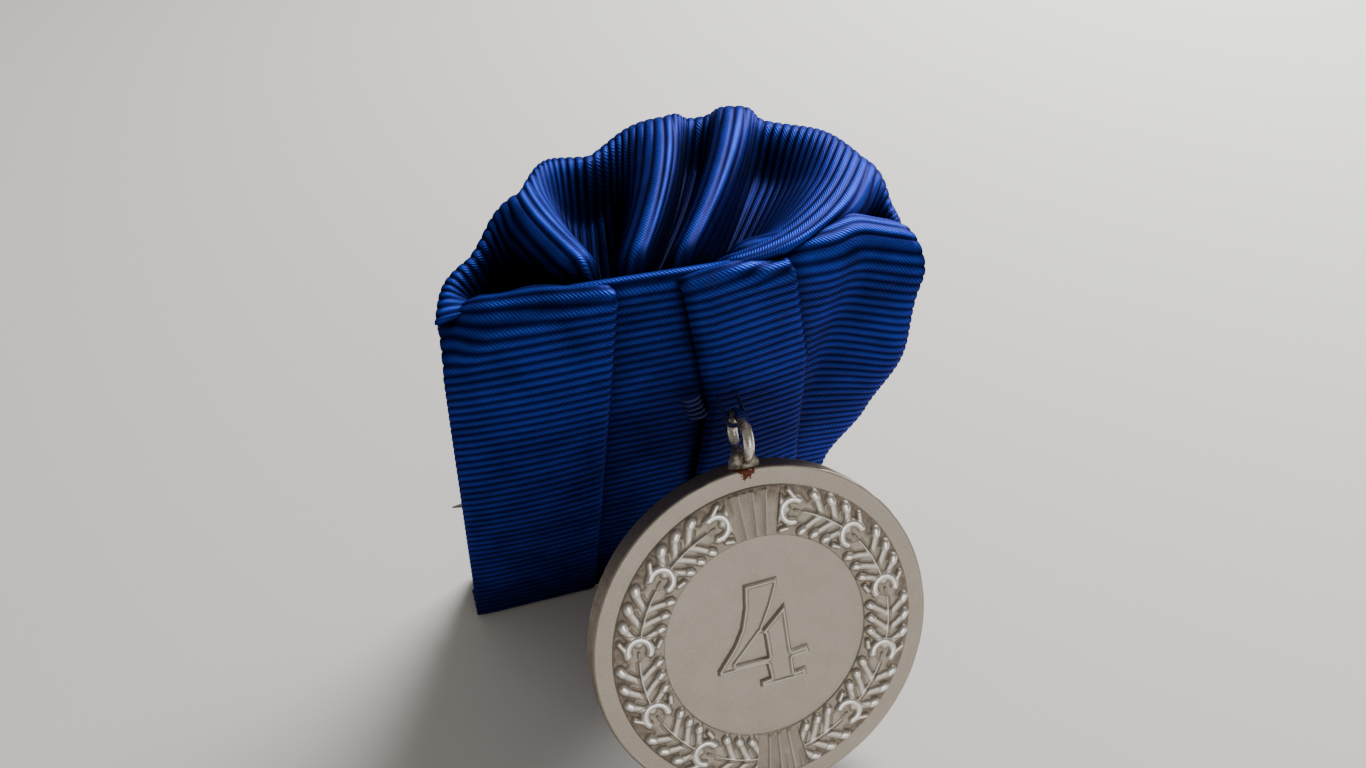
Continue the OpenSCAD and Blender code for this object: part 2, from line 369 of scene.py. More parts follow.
def noise_at(tree: bpy.types.NodeTree, size: float, detail: float = 4.0, rough: float = 0.6,
             stretch: tuple[float, float, float] = (1, 1, 1)) -> bpy.types.NodeSocket:
    """Noise on Object coordinates whose blobs are about size millimetres; returns its Factor."""
    place = add_node(tree, "ShaderNodeTexCoord").outputs["Object"]
    mapped = add_node(tree, "ShaderNodeMapping", None, Vector=place, Scale=stretch)
    return add_node(tree, "ShaderNodeTexNoise", None, Vector=mapped.outputs[0], Scale=1 / (size * MM),
                    Detail=detail, Roughness=rough).outputs[0]


def maths(tree: bpy.types.NodeTree, operation: str, a: object, b: object = 0.0,
          c: object = 0.0, clamp: bool = False) -> bpy.types.NodeSocket:
    """A Math node's result."""
    return add_node(tree, "ShaderNodeMath", {"operation": operation, "use_clamp": clamp},
                    i0=a, i1=b, i2=c).outputs[0]


def mixed(tree: bpy.types.NodeTree, factor: object, a: object, b: object,
          how: str = "MIX") -> bpy.types.NodeSocket:
    """A colour Mix node's result."""
    node = tree.nodes.new("ShaderNodeMix")
    node.data_type, node.blend_type = "RGBA", how
    for socket, value in ((node.inputs[0], factor), (node.inputs[6], a), (node.inputs[7], b)):
        if isinstance(value, bpy.types.NodeSocket):
            tree.links.new(value, socket)
        else:
            socket.default_value = value
    return node.outputs[2]


@dataclass(frozen=True)
class RibbedSilk(Finish):
    """Blue ribbed ribbon of artificial silk: cord-like ribs across its width, wrapped in fine warp.

    The ribs are in the mesh. The warp threads run over them as fine ticks in the bump and roughness;
    in the colour each tick is a painted highlight, brightest on a rib's crown. The ticks lean a little
    because the yarn is twisted.

    Attributes:
        thread: Spacing of the warp threads in mm; drawn at 0.3 where the real one is about 0.2.
        rib: Spacing of the ribs in mm.
        deep: Colour of the worn stretches.
        body: Colour of the fresh stretches.
        lit: Colour of the painted highlight on the ticks.
        hollow_reach: How near a fold must be for the painted shade to darken a hollow, in mm.
        hollow_power: How fast the painted shade in hollows deepens.
        stained: Whether old olive-brown stains show.
    """

    name: str = "ribbed_silk_blue"
    thread: float = 0.3
    rib: float = 0.95
    deep: str = "111c60"
    body: str = "2234a0"
    lit: str = "3a66f0"
    hollow_reach: float = 9.0
    hollow_power: float = 2.2
    stained: bool = False

    def wire(self, tree: bpy.types.NodeTree, shader: bpy.types.Node) -> None:
        """Adds the finish's nodes."""
        uv = add_node(tree, "ShaderNodeUVMap", {"uv_map": "cloth"}).outputs[0]
        split = add_node(tree, "ShaderNodeSeparateXYZ", None, Vector=uv)
        across, along = split.outputs[0], split.outputs[1]
        # how far up its rib a point is: 1 on the rib's crown, 0 in the groove
        wave = maths(tree, "COSINE", maths(tree, "MULTIPLY", along, 2 * math.pi / self.rib))
        crown = maths(tree, "MULTIPLY_ADD", wave, 0.5, 0.5)
        # the ticks: sloping warp threads
        slope = maths(tree, "MULTIPLY", along, 0.9)
        thread = maths(tree, "MULTIPLY", maths(tree, "ADD", across, slope), 2 * math.pi / self.thread)
        tick = maths(tree, "MULTIPLY_ADD", maths(tree, "SINE", thread), 0.5, 0.5)
        worn = noise_at(tree, 3.5, 3.0, 0.5)
        base = ramp(tree, worn, ((0.3, self.deep), (0.75, self.body)))
        # painted highlight: the colour is lightened towards lit on the ticks, most on the rib crowns
        painted_tick_highlight = maths(tree, "MULTIPLY", maths(tree, "POWER", tick, 1.6), maths(tree, "POWER", crown, 0.7))
        colour = mixed(tree, maths(tree, "MULTIPLY", painted_tick_highlight, 0.3), base, linear(self.lit))
        # painted shade: the grooves between the ribs are darkened towards near black
        colour = mixed(tree, maths(tree, "MULTIPLY_ADD", crown, -0.8, 0.8), colour, linear("02040f"))
        if self.stained:
            spot = ramp(tree, noise_at(tree, 2.2, 5.0, 0.7), ((0.60, "000000"), (0.70, "ffffff")))
            colour = mixed(tree, maths(tree, "MULTIPLY", spot, 0.35), colour, linear("3a3420"))
        # painted shade: ambient occlusion darkens the colour in deep hollows between folds
        sky = add_node(tree, "ShaderNodeAmbientOcclusion", {"samples": 8}, Distance=self.hollow_reach * MM)
        painted_hollow_shade = maths(tree, "POWER", sky.outputs["AO"], self.hollow_power)
        colour = mixed(tree, painted_hollow_shade, linear("010209"), colour)
        tree.links.new(colour, shader.inputs["Base Color"])
        height = maths(tree, "MULTIPLY", tick, crown)
        bump = add_node(tree, "ShaderNodeBump", None, Height=height, Strength=0.5, Distance=0.05 * MM)
        tree.links.new(bump.outputs[0], shader.inputs["Normal"])
        rough = maths(tree, "MULTIPLY_ADD", tick, -0.18, 0.58)
        tree.links.new(rough, shader.inputs["Roughness"])
        shader.inputs["Metallic"].default_value = 0.62
        shader.inputs["Specular IOR Level"].default_value = 0.2
        shader.inputs["Specular Tint"].default_value = linear("5f7cff")


@dataclass(frozen=True)
class PressedFelt(Finish):
    """Grey-blue pressed felt: matted wool fibres, fuzzy and quite matt."""

    name: str = "pressed_felt"
    shade: str = "474c57"

    def wire(self, tree: bpy.types.NodeTree, shader: bpy.types.Node) -> None:
        """Adds the finish's nodes."""
        fibre = noise_at(tree, 0.35, 6.0, 0.75, (1, 1, 0.35))
        cloud = noise_at(tree, 3.0)
        colour = mixed(tree, cloud, linear("33373f"), linear(self.shade))
        colour = mixed(tree, maths(tree, "MULTIPLY", fibre, 0.5), colour, linear("7c8290"))
        tree.links.new(colour, shader.inputs["Base Color"])
        shader.inputs["Roughness"].default_value = 0.95
        shader.inputs["Sheen Weight"].default_value = 0.4
        shader.inputs["Sheen Tint"].default_value = linear("9aa2b4")
        bump = add_node(tree, "ShaderNodeBump", None, Height=fibre, Strength=0.9, Distance=0.15 * MM)
        tree.links.new(bump.outputs[0], shader.inputs["Normal"])


@dataclass(frozen=True)
class SewingThread(Finish):
    """Twisted mercerised sewing thread: smooth, with a soft silky gleam."""

    name: str = "sewing_thread_blue"
    shade: str = "1d3c9c"
    pale: str = "6f95f0"

    def wire(self, tree: bpy.types.NodeTree, shader: bpy.types.Node) -> None:
        """Adds the finish's nodes."""
        ply = noise_at(tree, 0.25, 3.0, 0.6)
        colour = mixed(tree, ply, linear(self.shade), linear(self.pale))
        tree.links.new(colour, shader.inputs["Base Color"])
        shader.inputs["Roughness"].default_value = 0.75
        bump = add_node(tree, "ShaderNodeBump", None, Height=ply, Strength=0.6, Distance=0.05 * MM)
        tree.links.new(bump.outputs[0], shader.inputs["Normal"])


@dataclass(frozen=True)
class StruckSilver(Finish):
    """Struck nickel-silver: blasted matt field, relief worn bright (its lightening partly a painted
    highlight), brown dirt left in the recesses.
    """

    name: str = "struck_nickel_silver"
    body: str = "aea395"

    def wire(self, tree: bpy.types.NodeTree, shader: bpy.types.Node) -> None:
        """Adds the finish's nodes."""
        dirt = add_node(tree, "ShaderNodeAttribute", {"attribute_name": "dirt"}).outputs["Fac"]
        worn = add_node(tree, "ShaderNodeAttribute", {"attribute_name": "worn"}).outputs["Fac"]
        rust = add_node(tree, "ShaderNodeAttribute", {"attribute_name": "rust"}).outputs["Fac"]
        grain = noise_at(tree, 0.16, 2.0, 0.5)      # blasted grain, drawn at 0.16 mm
        cloud = noise_at(tree, 2.5, 5.0, 0.6)
        speck = noise_at(tree, 0.5, 4.0, 0.7)
        colour = mixed(tree, cloud, linear("958a7c"), linear(self.body))
        colour = mixed(tree, maths(tree, "MULTIPLY", grain, 0.35), colour, linear("d4ccbf"))
        # worn relief: wear makes it smoother, and its lightened colour is partly a painted highlight
        colour = mixed(tree, worn, colour, linear("efebe4"))
        patch = maths(tree, "MULTIPLY_ADD", speck, 1.3, -0.25, clamp=True)
        soiled = maths(tree, "MULTIPLY", dirt, patch, clamp=True)
        colour = mixed(tree, soiled, colour, linear("5b4029"))
        eaten = maths(tree, "MULTIPLY", rust, maths(tree, "ADD", speck, 0.2))
        burst = maths(tree, "GREATER_THAN", eaten, 0.52)
        colour = mixed(tree, burst, colour, linear("6b3018"))
        tree.links.new(colour, shader.inputs["Base Color"])
        dull = maths(tree, "MAXIMUM", soiled, burst)
        tree.links.new(maths(tree, "MULTIPLY_ADD", dull, -0.85, 0.95), shader.inputs["Metallic"])
        rough = maths(tree, "MULTIPLY_ADD", worn, -0.26, 0.50)
        tree.links.new(maths(tree, "MULTIPLY_ADD", dull, 0.3, rough), shader.inputs["Roughness"])
        height = maths(tree, "MULTIPLY", grain, maths(tree, "MULTIPLY_ADD", worn, -0.7, 1.0))
        bump = add_node(tree, "ShaderNodeBump", None, Height=height, Strength=0.5, Distance=0.05 * MM)
        tree.links.new(bump.outputs[0], shader.inputs["Normal"])


@dataclass(frozen=True)
class WornMetal(Finish):
    """Plain metal with tarnish: the brooch, its pin, the loop, the solder and the plate.

    Attributes:
        bright: Colour of the clean metal.
        dark: Colour of the tarnish.
        rough: Roughness of the clean metal.
        tarnish: Share of the surface that is tarnished, from 0 to 1.
        grain: Size of the surface's unevenness, in mm.
        lumpy: Strength of the unevenness.
    """

    name: str = "brooch_steel"
    bright: str = "b9b4ac"
    dark: str = "4c3c30"
    rough: float = 0.3
    tarnish: float = 0.35
    grain: float = 0.6
    lumpy: float = 0.25

    def wire(self, tree: bpy.types.NodeTree, shader: bpy.types.Node) -> None:
        """Adds the finish's nodes."""
        cloud = noise_at(tree, self.grain * 2.5, 5.0, 0.65)
        edge = 0.62 - 0.34 * self.tarnish
        spot = ramp(tree, cloud, ((edge, "000000"), (edge + 0.14, "ffffff")))
        grain = noise_at(tree, self.grain * 0.5, 4.0, 0.6)
        colour = mixed(tree, spot, linear(self.bright), linear(self.dark))
        tree.links.new(colour, shader.inputs["Base Color"])
        tree.links.new(maths(tree, "MULTIPLY_ADD", spot, -0.5, 1.0), shader.inputs["Metallic"])
        tree.links.new(maths(tree, "MULTIPLY_ADD", spot, 0.35, self.rough), shader.inputs["Roughness"])
        bump = add_node(tree, "ShaderNodeBump", None, Height=grain, Strength=self.lumpy, Distance=0.08 * MM)
        tree.links.new(bump.outputs[0], shader.inputs["Normal"])


SILK = RibbedSilk()
STAINED_SILK = RibbedSilk(name="ribbed_silk_blue_stained", stained=True)
FELT = PressedFelt()
THREAD = SewingThread()
DARK_THREAD = SewingThread(name="sewing_thread_navy", shade="060d2a", pale="15296a")
SILVER = StruckSilver()
BROOCH_STEEL = WornMetal()
PIN_STEEL = WornMetal(name="pin_steel", bright="c9c6c0", dark="5a4a3c", rough=0.2, tarnish=0.15)
LOOP_STEEL = WornMetal(name="loop_steel", bright="cfc8bd", dark="6a5a48", rough=0.22, tarnish=0.3, grain=0.4)
SOLDER = WornMetal(name="soft_solder", bright="cdc5b6", dark="8d8170", rough=0.5, tarnish=0.5, grain=0.3,
                   lumpy=0.9)
ZINC = WornMetal(name="plate_zinc", bright="8f9499", dark="5b5f63", rough=0.45, tarnish=0.4, grain=1.0)


# ---------------------------------------------------------------- camera, floor and light


@dataclass
class Studio:
    """The camera, the pale floor and the soft light.

    Attributes:
        eye: The camera's place.
        heading: Where it faces, in degrees clockwise from +Y.
        down: How far it looks down, in degrees.
        roll: Its roll, in degrees.
        lens: Its focal length, in mm.
        sensor: Its sensor's width, in mm.
        floor_shade: Colour of the floor.
        floor_half: Half width of the floor.
    """

    eye: tuple[float, float, float] = (-20.5, -67.8, 85.0)
    heading: float = 20.0
    down: float = 40.3
    roll: float = -2.2
    lens: float = 26.35
    sensor: float = 36.0
    floor_shade: str = "d6d4d1"
    floor_half: float = 1500.0

    def camera(self) -> None:
        """Makes the camera, with depth of field off."""
        h, d, r = (math.radians(a) for a in (self.heading, self.down, self.roll))
        ahead, up = np.array((math.sin(h), math.cos(h), 0.0)), np.array((0.0, 0.0, 1.0))
        look = math.cos(d) * ahead - math.sin(d) * up
        below = -math.cos(d) * up - math.sin(d) * ahead
        right = np.array((math.cos(h), -math.sin(h), 0.0))
        x = math.cos(r) * right + math.sin(r) * below
        y = -math.sin(r) * right + math.cos(r) * below
        data = bpy.data.cameras.new("camera")
        data.lens, data.sensor_width, data.clip_start, data.clip_end = self.lens, self.sensor, 0.005, 20.0
        data.dof.use_dof = False
        eye = bpy.data.objects.new("camera", data)
        bpy.context.scene.collection.objects.link(eye)
        turn = Matrix((x, -y, -look)).transposed().to_4x4()
        eye.matrix_world = Matrix.Translation(Vector(self.eye) * MM) @ turn
        bpy.context.scene.camera = eye

    def floor(self) -> None:
        """Makes the plain pale floor under everything."""
        half = self.floor_half
        sheet = make_mesh("floor", np.array([(-half, -half, -0.02), (half, -half, -0.02), (half, half, -0.02),
                                             (-half, half, -0.02)]), [[0, 1, 2, 3]], outward=False)
        paper = bpy.data.materials.new("floor_paper")
        paper.use_nodes = True
        shader = paper.node_tree.nodes["Principled BSDF"]
        shader.inputs["Base Color"].default_value = linear(self.floor_shade)
        shader.inputs["Roughness"].default_value = 0.9
        sheet.data.materials.append(paper)

    def lamp(self, name: str, place: Sequence[float], aim: Sequence[float], size: float, watts: float,
             tint: str = "ffffff") -> None:
        """Makes one soft square lamp; place, aim and size are in mm."""
        data = bpy.data.lights.new(name, "AREA")
        data.shape, data.size, data.energy = "SQUARE", size * MM, watts
        data.color = linear(tint)[:3]
        lamp = bpy.data.objects.new(name, data)
        bpy.context.scene.collection.objects.link(lamp)
        away = (Vector(place) - Vector(aim)).normalized()
        turn = away.to_track_quat("Z", "Y").to_matrix().to_4x4()
        lamp.matrix_world = Matrix.Translation(Vector(place) * MM) @ turn

    def build(self) -> None:
        """Makes everything."""
        self.camera()
        self.floor()
        self.lamp("window", (230, 175, 245), (20, -5, 25), 230, 2.9)
        self.lamp("card", (90, -420, 90), (4, -20, 15), 260, 0.45)
        world = bpy.data.worlds.new("studio")
        world.use_nodes = True
        back = world.node_tree.nodes["Background"]
        back.inputs[0].default_value = linear("efeae2")
        back.inputs[1].default_value = 0.29
        bpy.context.scene.world = world


# ---------------------------------------------------------------- the ribbon


@dataclass(frozen=True)
class RibWeave:
    """The ribbon's build: ribs of thick weft under fine warp.

    Attributes:
        pitch: Spacing of the ribs.
        groove: Half thickness of the cloth in a groove.
        swell: What a rib adds to the half thickness at its crown.
        scallop: How far each rib stands out at the selvedge.
        width: Width of the ribbon.
    """

    pitch: float = 0.95
    groove: float = 0.13
    swell: float = 0.1
    scallop: float = 0.12
    width: float = 30.0

    def rows(self, start: float, end: float) -> tuple[Array, Array]:
        """Places across the ribs from start to end, and the rib's rise (0 to 1) at each."""
        first, last = math.floor(start / self.pitch), math.ceil(end / self.pitch)
        steps = np.array((-0.5, -0.38, -0.2, 0.0, 0.2, 0.38))
        s = (np.arange(first, last + 1)[:, None] + steps[None, :]).ravel() * self.pitch
        rise = np.tile(np.sqrt(1 - (2 * steps) ** 2 * 0.98), last + 1 - first)
        keep = (s >= start - 1e-9) & (s <= end + 1e-9)
        return s[keep], rise[keep]

    def shell(self, name: str, middle: Callable[[Array, Array], Array], start: float, end: float,
              across: Array) -> bpy.types.Object:
        """Makes a closed, ribbed piece of ribbon round its middle surface.

        Args:
            name: The piece's name.
            middle: Gives the middle surface's points from (place across the ribs, place across the width).
            start: First place across the ribs.
            end: Last place across the ribs.
            across: Places across the width, selvedge to selvedge.

        Returns:
            The piece, with its cloth UV in millimetres.
        """
        s, rise = self.rows(start, end)
        big_s, big_w = np.meshgrid(s, across, indexing="ij")
        edge = np.zeros_like(big_w)
        edge[:, 0], edge[:, -1] = -1.0, 1.0
        big_w = big_w + edge * self.scallop * rise[:, None]
        points = middle(big_s, big_w)
        normal = np.cross(np.gradient(points, axis=0), np.gradient(points, axis=1))
        normal /= np.linalg.norm(normal, axis=2, keepdims=True) + 1e-12
        half = (self.groove + self.swell * rise)[:, None] * np.ones_like(big_w)
        half[:, (0, -1)] *= 0.35
        half[:, (1, -2)] *= 0.85
        front, back = points + normal * half[..., None], points - normal * half[..., None]
        rows, cols = big_s.shape
        both = np.concatenate((front.reshape(-1, 3), back.reshape(-1, 3)))
        uv = np.tile(np.stack((big_w.ravel(), big_s.ravel()), axis=1), (2, 1))
        piece = make_mesh(name, both, shell_faces(rows, cols), uv)
        log.info("%s: %d faces", name, len(piece.data.polygons))
        return piece


def spread(values: Array, knots: Sequence[float], heights: Sequence[float]) -> Array:
    """Joins (knot, height) pairs by smooth steps and reads them at values."""
    out = np.full(np.shape(values), float(heights[0]))
    for a, b, p, q in zip(knots[:-1], knots[1:], heights[:-1], heights[1:]):
        out = out + (q - p) * smooth(values, a, b)
    return out


@dataclass
class RibbonLeg:
    """One leg of the ribbon: pleated in three layers, folded over at its top and turned under at its foot.

    Attributes:
        outer_y: Depth of the outer layer's middle.
        back_y: Depth of the layer that goes back under it.
        inner_y: Depth of the inner layer.
        fold_cloth: Cloth in the turn from the outer layer to the one under it.
        tuck_cloth: Cloth in the turn from there to the inner layer.
        foot_lean: How far the foot turns under, in degrees.
        foot_radius: Radius of that turn.
        floor_gap: Height of the foot's middle surface over the floor.
        dive: How far the top turns over, in degrees.
        first_s: Place along the ribbon where the leg starts, at its foot.
        last_s: Place along the ribbon where it ends, past its top.
        tail_in: How far the part past the top leans inwards, for each mm.
    """

    name: str
    weave: RibWeave
    mount: Lean
    outer_y: float = 0.30
    back_y: float = 0.93
    inner_y: float = 1.44
    fold_cloth: float = 0.99
    tuck_cloth: float = 0.80
    foot_lean: float = 76.0
    foot_radius: float = 0.55
    floor_gap: float = 0.33
    dive: float = 150.0
    first_s: float = -3.2
    last_s: float = 52.0
    tail_in: float = 0.0

    def section(self, s: Array, w: Array) -> tuple[Array, Array]:
        """Place across the mount and depth of the layer, from the place along and across the ribbon."""
        raise NotImplementedError

    def top(self, w: Array, x: Array) -> tuple[Array, Array, float]:
        """Height of the top fold along the mount, its radius, and the angle at which it dives."""
        raise NotImplementedError

    def rise(self, s: Array, w: Array, x: Array) -> Array:
        """How far the ribs have slid up the mount."""
        return np.zeros_like(s)

    def pillow(self, x: Array, along: Array) -> Array:
        """Soft unevenness of the surface, as depth."""
        return np.zeros_like(x)

    @staticmethod
    def bend(x0: Array | float, side: int, y0: float, y1: float, t: Array) -> tuple[Array, Array]:
        """Half circle from layer y0 to layer y1 at x0, bulging to a side; t runs from 0 to 1."""
        turn = np.clip(t, 0, 1) * math.pi
        r = (y1 - y0) / 2
        return x0 + side * r * np.sin(turn), y0 + r * (1 - np.cos(turn))

    def layers(self, w: Array, left: Array | float, fold: Array | float,
               back: Array | float) -> tuple[Array, Array]:
        """Place across the mount and depth of a strip pleated in three layers.

        Args:
            w: Place across the ribbon, from its visible selvedge.
            left: Place of that selvedge across the mount.
            fold: Place of the visible fold.
            back: Width of the layer that goes back under it.

        Returns:
            Place across the mount, and depth.
        """
        a = fold - left
        b = a + self.fold_cloth
        c = b + back
        d = c + self.tuck_cloth
        tuck = fold - back
        fx, fy = self.bend(fold, 1, self.outer_y, self.back_y, (w - a) / (b - a))
        gx, gy = self.bend(tuck, -1, self.back_y, self.inner_y, (w - c) / (d - c))
        stretch = [w < a, w < b, w < c, w < d]
        x = np.select(stretch, [left + w, fx, fold - (w - b), gx], tuck + (w - d))
        y = np.select(stretch, [self.outer_y + 0 * w, fy, self.back_y + 0 * w, gy], self.inner_y + 0 * w)
        return x, y

    def middle(self, s: Array, w: Array) -> Array:
        """The middle surface of the whole leg, in the row frame."""
        x, y0 = self.section(s, w)
        top, r, dive = self.top(w, x)
        lift = self.rise(s, w, x)
        along = s + lift
        y0 = y0 + self.pillow(x, along) * smooth(along, 1, 6)
        past = along - (top - r)
        turn = np.clip(past / r, 0, dive)
        beyond = np.maximum(past - r * dive, 0)
        y = np.where(past > 0, y0 + r * (1 - np.cos(turn)) + beyond * math.sin(dive), y0)
        z = np.where(past > 0, top - r + r * np.sin(turn) + beyond * math.cos(dive), along)
        x = x + self.tail_in * np.clip(past, 0.0, 6.0) * (1 - smooth(w, 0.0, 6.0))
        # the foot turns back under the padding
        lean = math.radians(self.mount.angle)
        under = math.radians(self.foot_lean)
        fr = self.foot_radius
        foot = (self.floor_gap - (y0 + (1 - math.cos(under)) * fr) * math.sin(lean)) / math.cos(lean)
        foot = foot + fr * math.sin(under)
        below = foot - along
        turn = np.clip(below / fr, 0, under)
        beyond = np.maximum(below - fr * under, 0)
        y = np.where(below > 0, y0 + fr * (1 - np.cos(turn)) + beyond * math.cos(lean), y)
        z = np.where(below > 0, foot - fr * np.sin(turn) - beyond * math.sin(lean), z)
        return self.mount.place(np.stack((x, y, z), axis=-1))


@dataclass
class LeftLeg(RibbonLeg):
    """Left leg: the outer wing, its pleat, and the layer that goes on under the centre strip.

    Attributes:
        selvedge: Place of the wing's selvedge across the mount.
        pleat: Place of its fold.
        tuck: Place where the hidden layer turns forward again.
    """

    selvedge: float = -18.0
    pleat: float = -6.2
    tuck: float = -9.05
    tail_in: float = 0.08

    def section(self, s: Array, w: Array) -> tuple[Array, Array]:
        """Place across the mount and depth of the layer."""
        return self.layers(w, self.selvedge, self.pleat, self.pleat - self.tuck)

    def top(self, w: Array, x: Array) -> tuple[Array, Array, float]:
        """The wing's outer corner is rounded; the hidden layer stops short."""
        top = spread(w, (0, 3.5, 9.0, 11.8, 12.8, 15.0, 16.8), (43.4, 45.4, 46.2, 46.4, 45.2, 45.2, 46.0))
        r = spread(w, (0, 6, 11, 12.8, 16.8), (2.3, 1.8, 1.0, 0.4, 0.6))
        return top, r, math.radians(self.dive)

    def pillow(self, x: Array, along: Array) -> Array:
        """The wing swells a little in its middle."""
        swell = np.sin(np.clip((x + 18) / 12, 0, 1) * math.pi) * np.sin(np.clip(along / 46, 0, 1) * math.pi)
        return -0.28 * swell + 0.06 * np.sin(along * 0.35 + x * 0.2)

    def build(self) -> bpy.types.Object:
        """Makes the leg."""
        across = np.unique(np.concatenate((np.linspace(0, 11.8, 16), np.linspace(11.8, 12.8, 7),
                                           np.linspace(12.8, 15.7, 6), np.linspace(15.7, 16.5, 5),
                                           np.linspace(16.5, 30, 18))))
        return self.weave.shell(self.name, self.middle, self.first_s, self.last_s, across)


@dataclass
class RightLeg(RibbonLeg):
    """Right leg: the slanting centre strip, its pleat, and the wing with the swelling selvedge.

    Attributes:
        strip_along: Heights at which the strip's left selvedge is given.
        strip_left: Its places there.
        strip_right_along: Heights at which the strip's right fold is given.
        strip_right: Its places there.
        wing_along: Heights at which the wing's selvedge is given.
        wing_edge: Its places there.
        slant: How steeply the strip's ribs climb.
    """

    strip_along: tuple[float, ...] = (-5, 18, 32, 50)
    strip_left: tuple[float, ...] = (3.5, 3.3, 3.0, -1.6)
    strip_right_along: tuple[float, ...] = (-5, 18, 35, 50)
    strip_right: tuple[float, ...] = (14.0, 13.4, 10.8, 6.2)
    wing_along: tuple[float, ...] = (-5, 15, 24, 32, 42, 50)
    wing_edge: tuple[float, ...] = (17.2, 17.8, 19.6, 20.2, 19.0, 18.0)
    slant: float = 0.2
    last_s: float = 53.5

    def borders(self, s: Array) -> tuple[Array, Array, Array]:
        """The strip's left selvedge, its right fold and the wing's selvedge, at a place along."""
        left = np.interp(s, self.strip_along, self.strip_left)
        fold = np.interp(s, self.strip_right_along, self.strip_right) - 0.3
        return left, fold, spread(s, self.wing_along, self.wing_edge) - 0.2

    def section(self, s: Array, w: Array) -> tuple[Array, Array]:
        """Place across the mount and depth of the layer."""
        left, fold, edge = self.borders(s)
        back = (self.weave.width - self.fold_cloth - self.tuck_cloth - edge + left) / 2
        x, y = self.layers(w, left, fold, back)
        return x, y + 0.12 * (1 - smooth(w, 0, 1.6))

    def top(self, w: Array, x: Array) -> tuple[Array, Array, float]:
        """The strip folds sharply; the wing goes over in a soft roll."""
        top = spread(w, (0, 4, 8, 9.5, 14, 17, 21, 30), (46.0, 46.6, 46.0, 44.6, 44.6, 45.6, 46.0, 45.6))
        r = spread(w, (0, 8, 10, 14, 18, 24, 30), (0.8, 0.9, 0.4, 0.6, 2.0, 2.2, 2.3))
        return top, r, math.radians(self.dive)

    def rise(self, s: Array, w: Array, x: Array) -> Array:
        """The strip's ribs climb to the right, because the strip leans."""
        fold = self.borders(s)[1]
        return self.slant * np.minimum(x - fold, 0) * (1 - smooth(w, 9.0, 12.0)) * smooth(s, 3, 9)

    def pillow(self, x: Array, along: Array) -> Array:
        """A soft upright fold runs down the wing, and the selvedge curls forward at mid height."""
        dent = 0.5 * np.exp(-((x - 13.0 - 0.04 * (along - 25)) / 1.5) ** 2) * smooth(along, 14, 34)
        curl = -1.5 * smooth(x, 14.5, 20.0) * smooth(along, 16, 36)
        return dent + curl + 0.05 * np.sin(along * 0.4 + x * 0.5)

    def build(self) -> bpy.types.Object:
        """Makes the leg."""
        across = np.concatenate((np.linspace(0, 7.0, 10), np.linspace(7.6, 12.4, 25),
                                 np.linspace(13, 20.5, 28), np.linspace(21, 30, 20)))
        return self.weave.shell(self.name, self.middle, self.first_s, self.last_s, across)


@dataclass(frozen=True)
class FanRay:
    """One fold line of the gathered fan, from its gathered end to its selvedge.

    Attributes:
        inner: Place of the gathered end.
        outer: Place at the selvedge.
        bow: How far the middle of the line is pushed sideways, as a plan offset.
        inner_z: Height at the gathered end, for a crest.
        outer_z: Height at the selvedge, for a crest.
        crest: Whether it is a crest or the bottom of a fold.
    """

    inner: tuple[float, float]
    outer: tuple[float, float]
    bow: tuple[float, float] = (0.0, 0.0)
    inner_z: float = 44.6
    outer_z: float = 46.3
    crest: bool = True

    def plan(self, v: Array) -> Array:
        """Plan places at v, 0 at the gathered end and 1 at the selvedge."""
        v = np.asarray(v)[..., None]
        a, b, bow = np.array(self.inner), np.array(self.outer), np.array(self.bow)
        return a * (1 - v) + b * v + 4 * bow * v * (1 - v)

    def height(self, v: Array) -> Array:
        """Height of a crest at v."""
        return self.inner_z + (self.outer_z - self.inner_z) * (1 - (1 - v) ** 2.4)


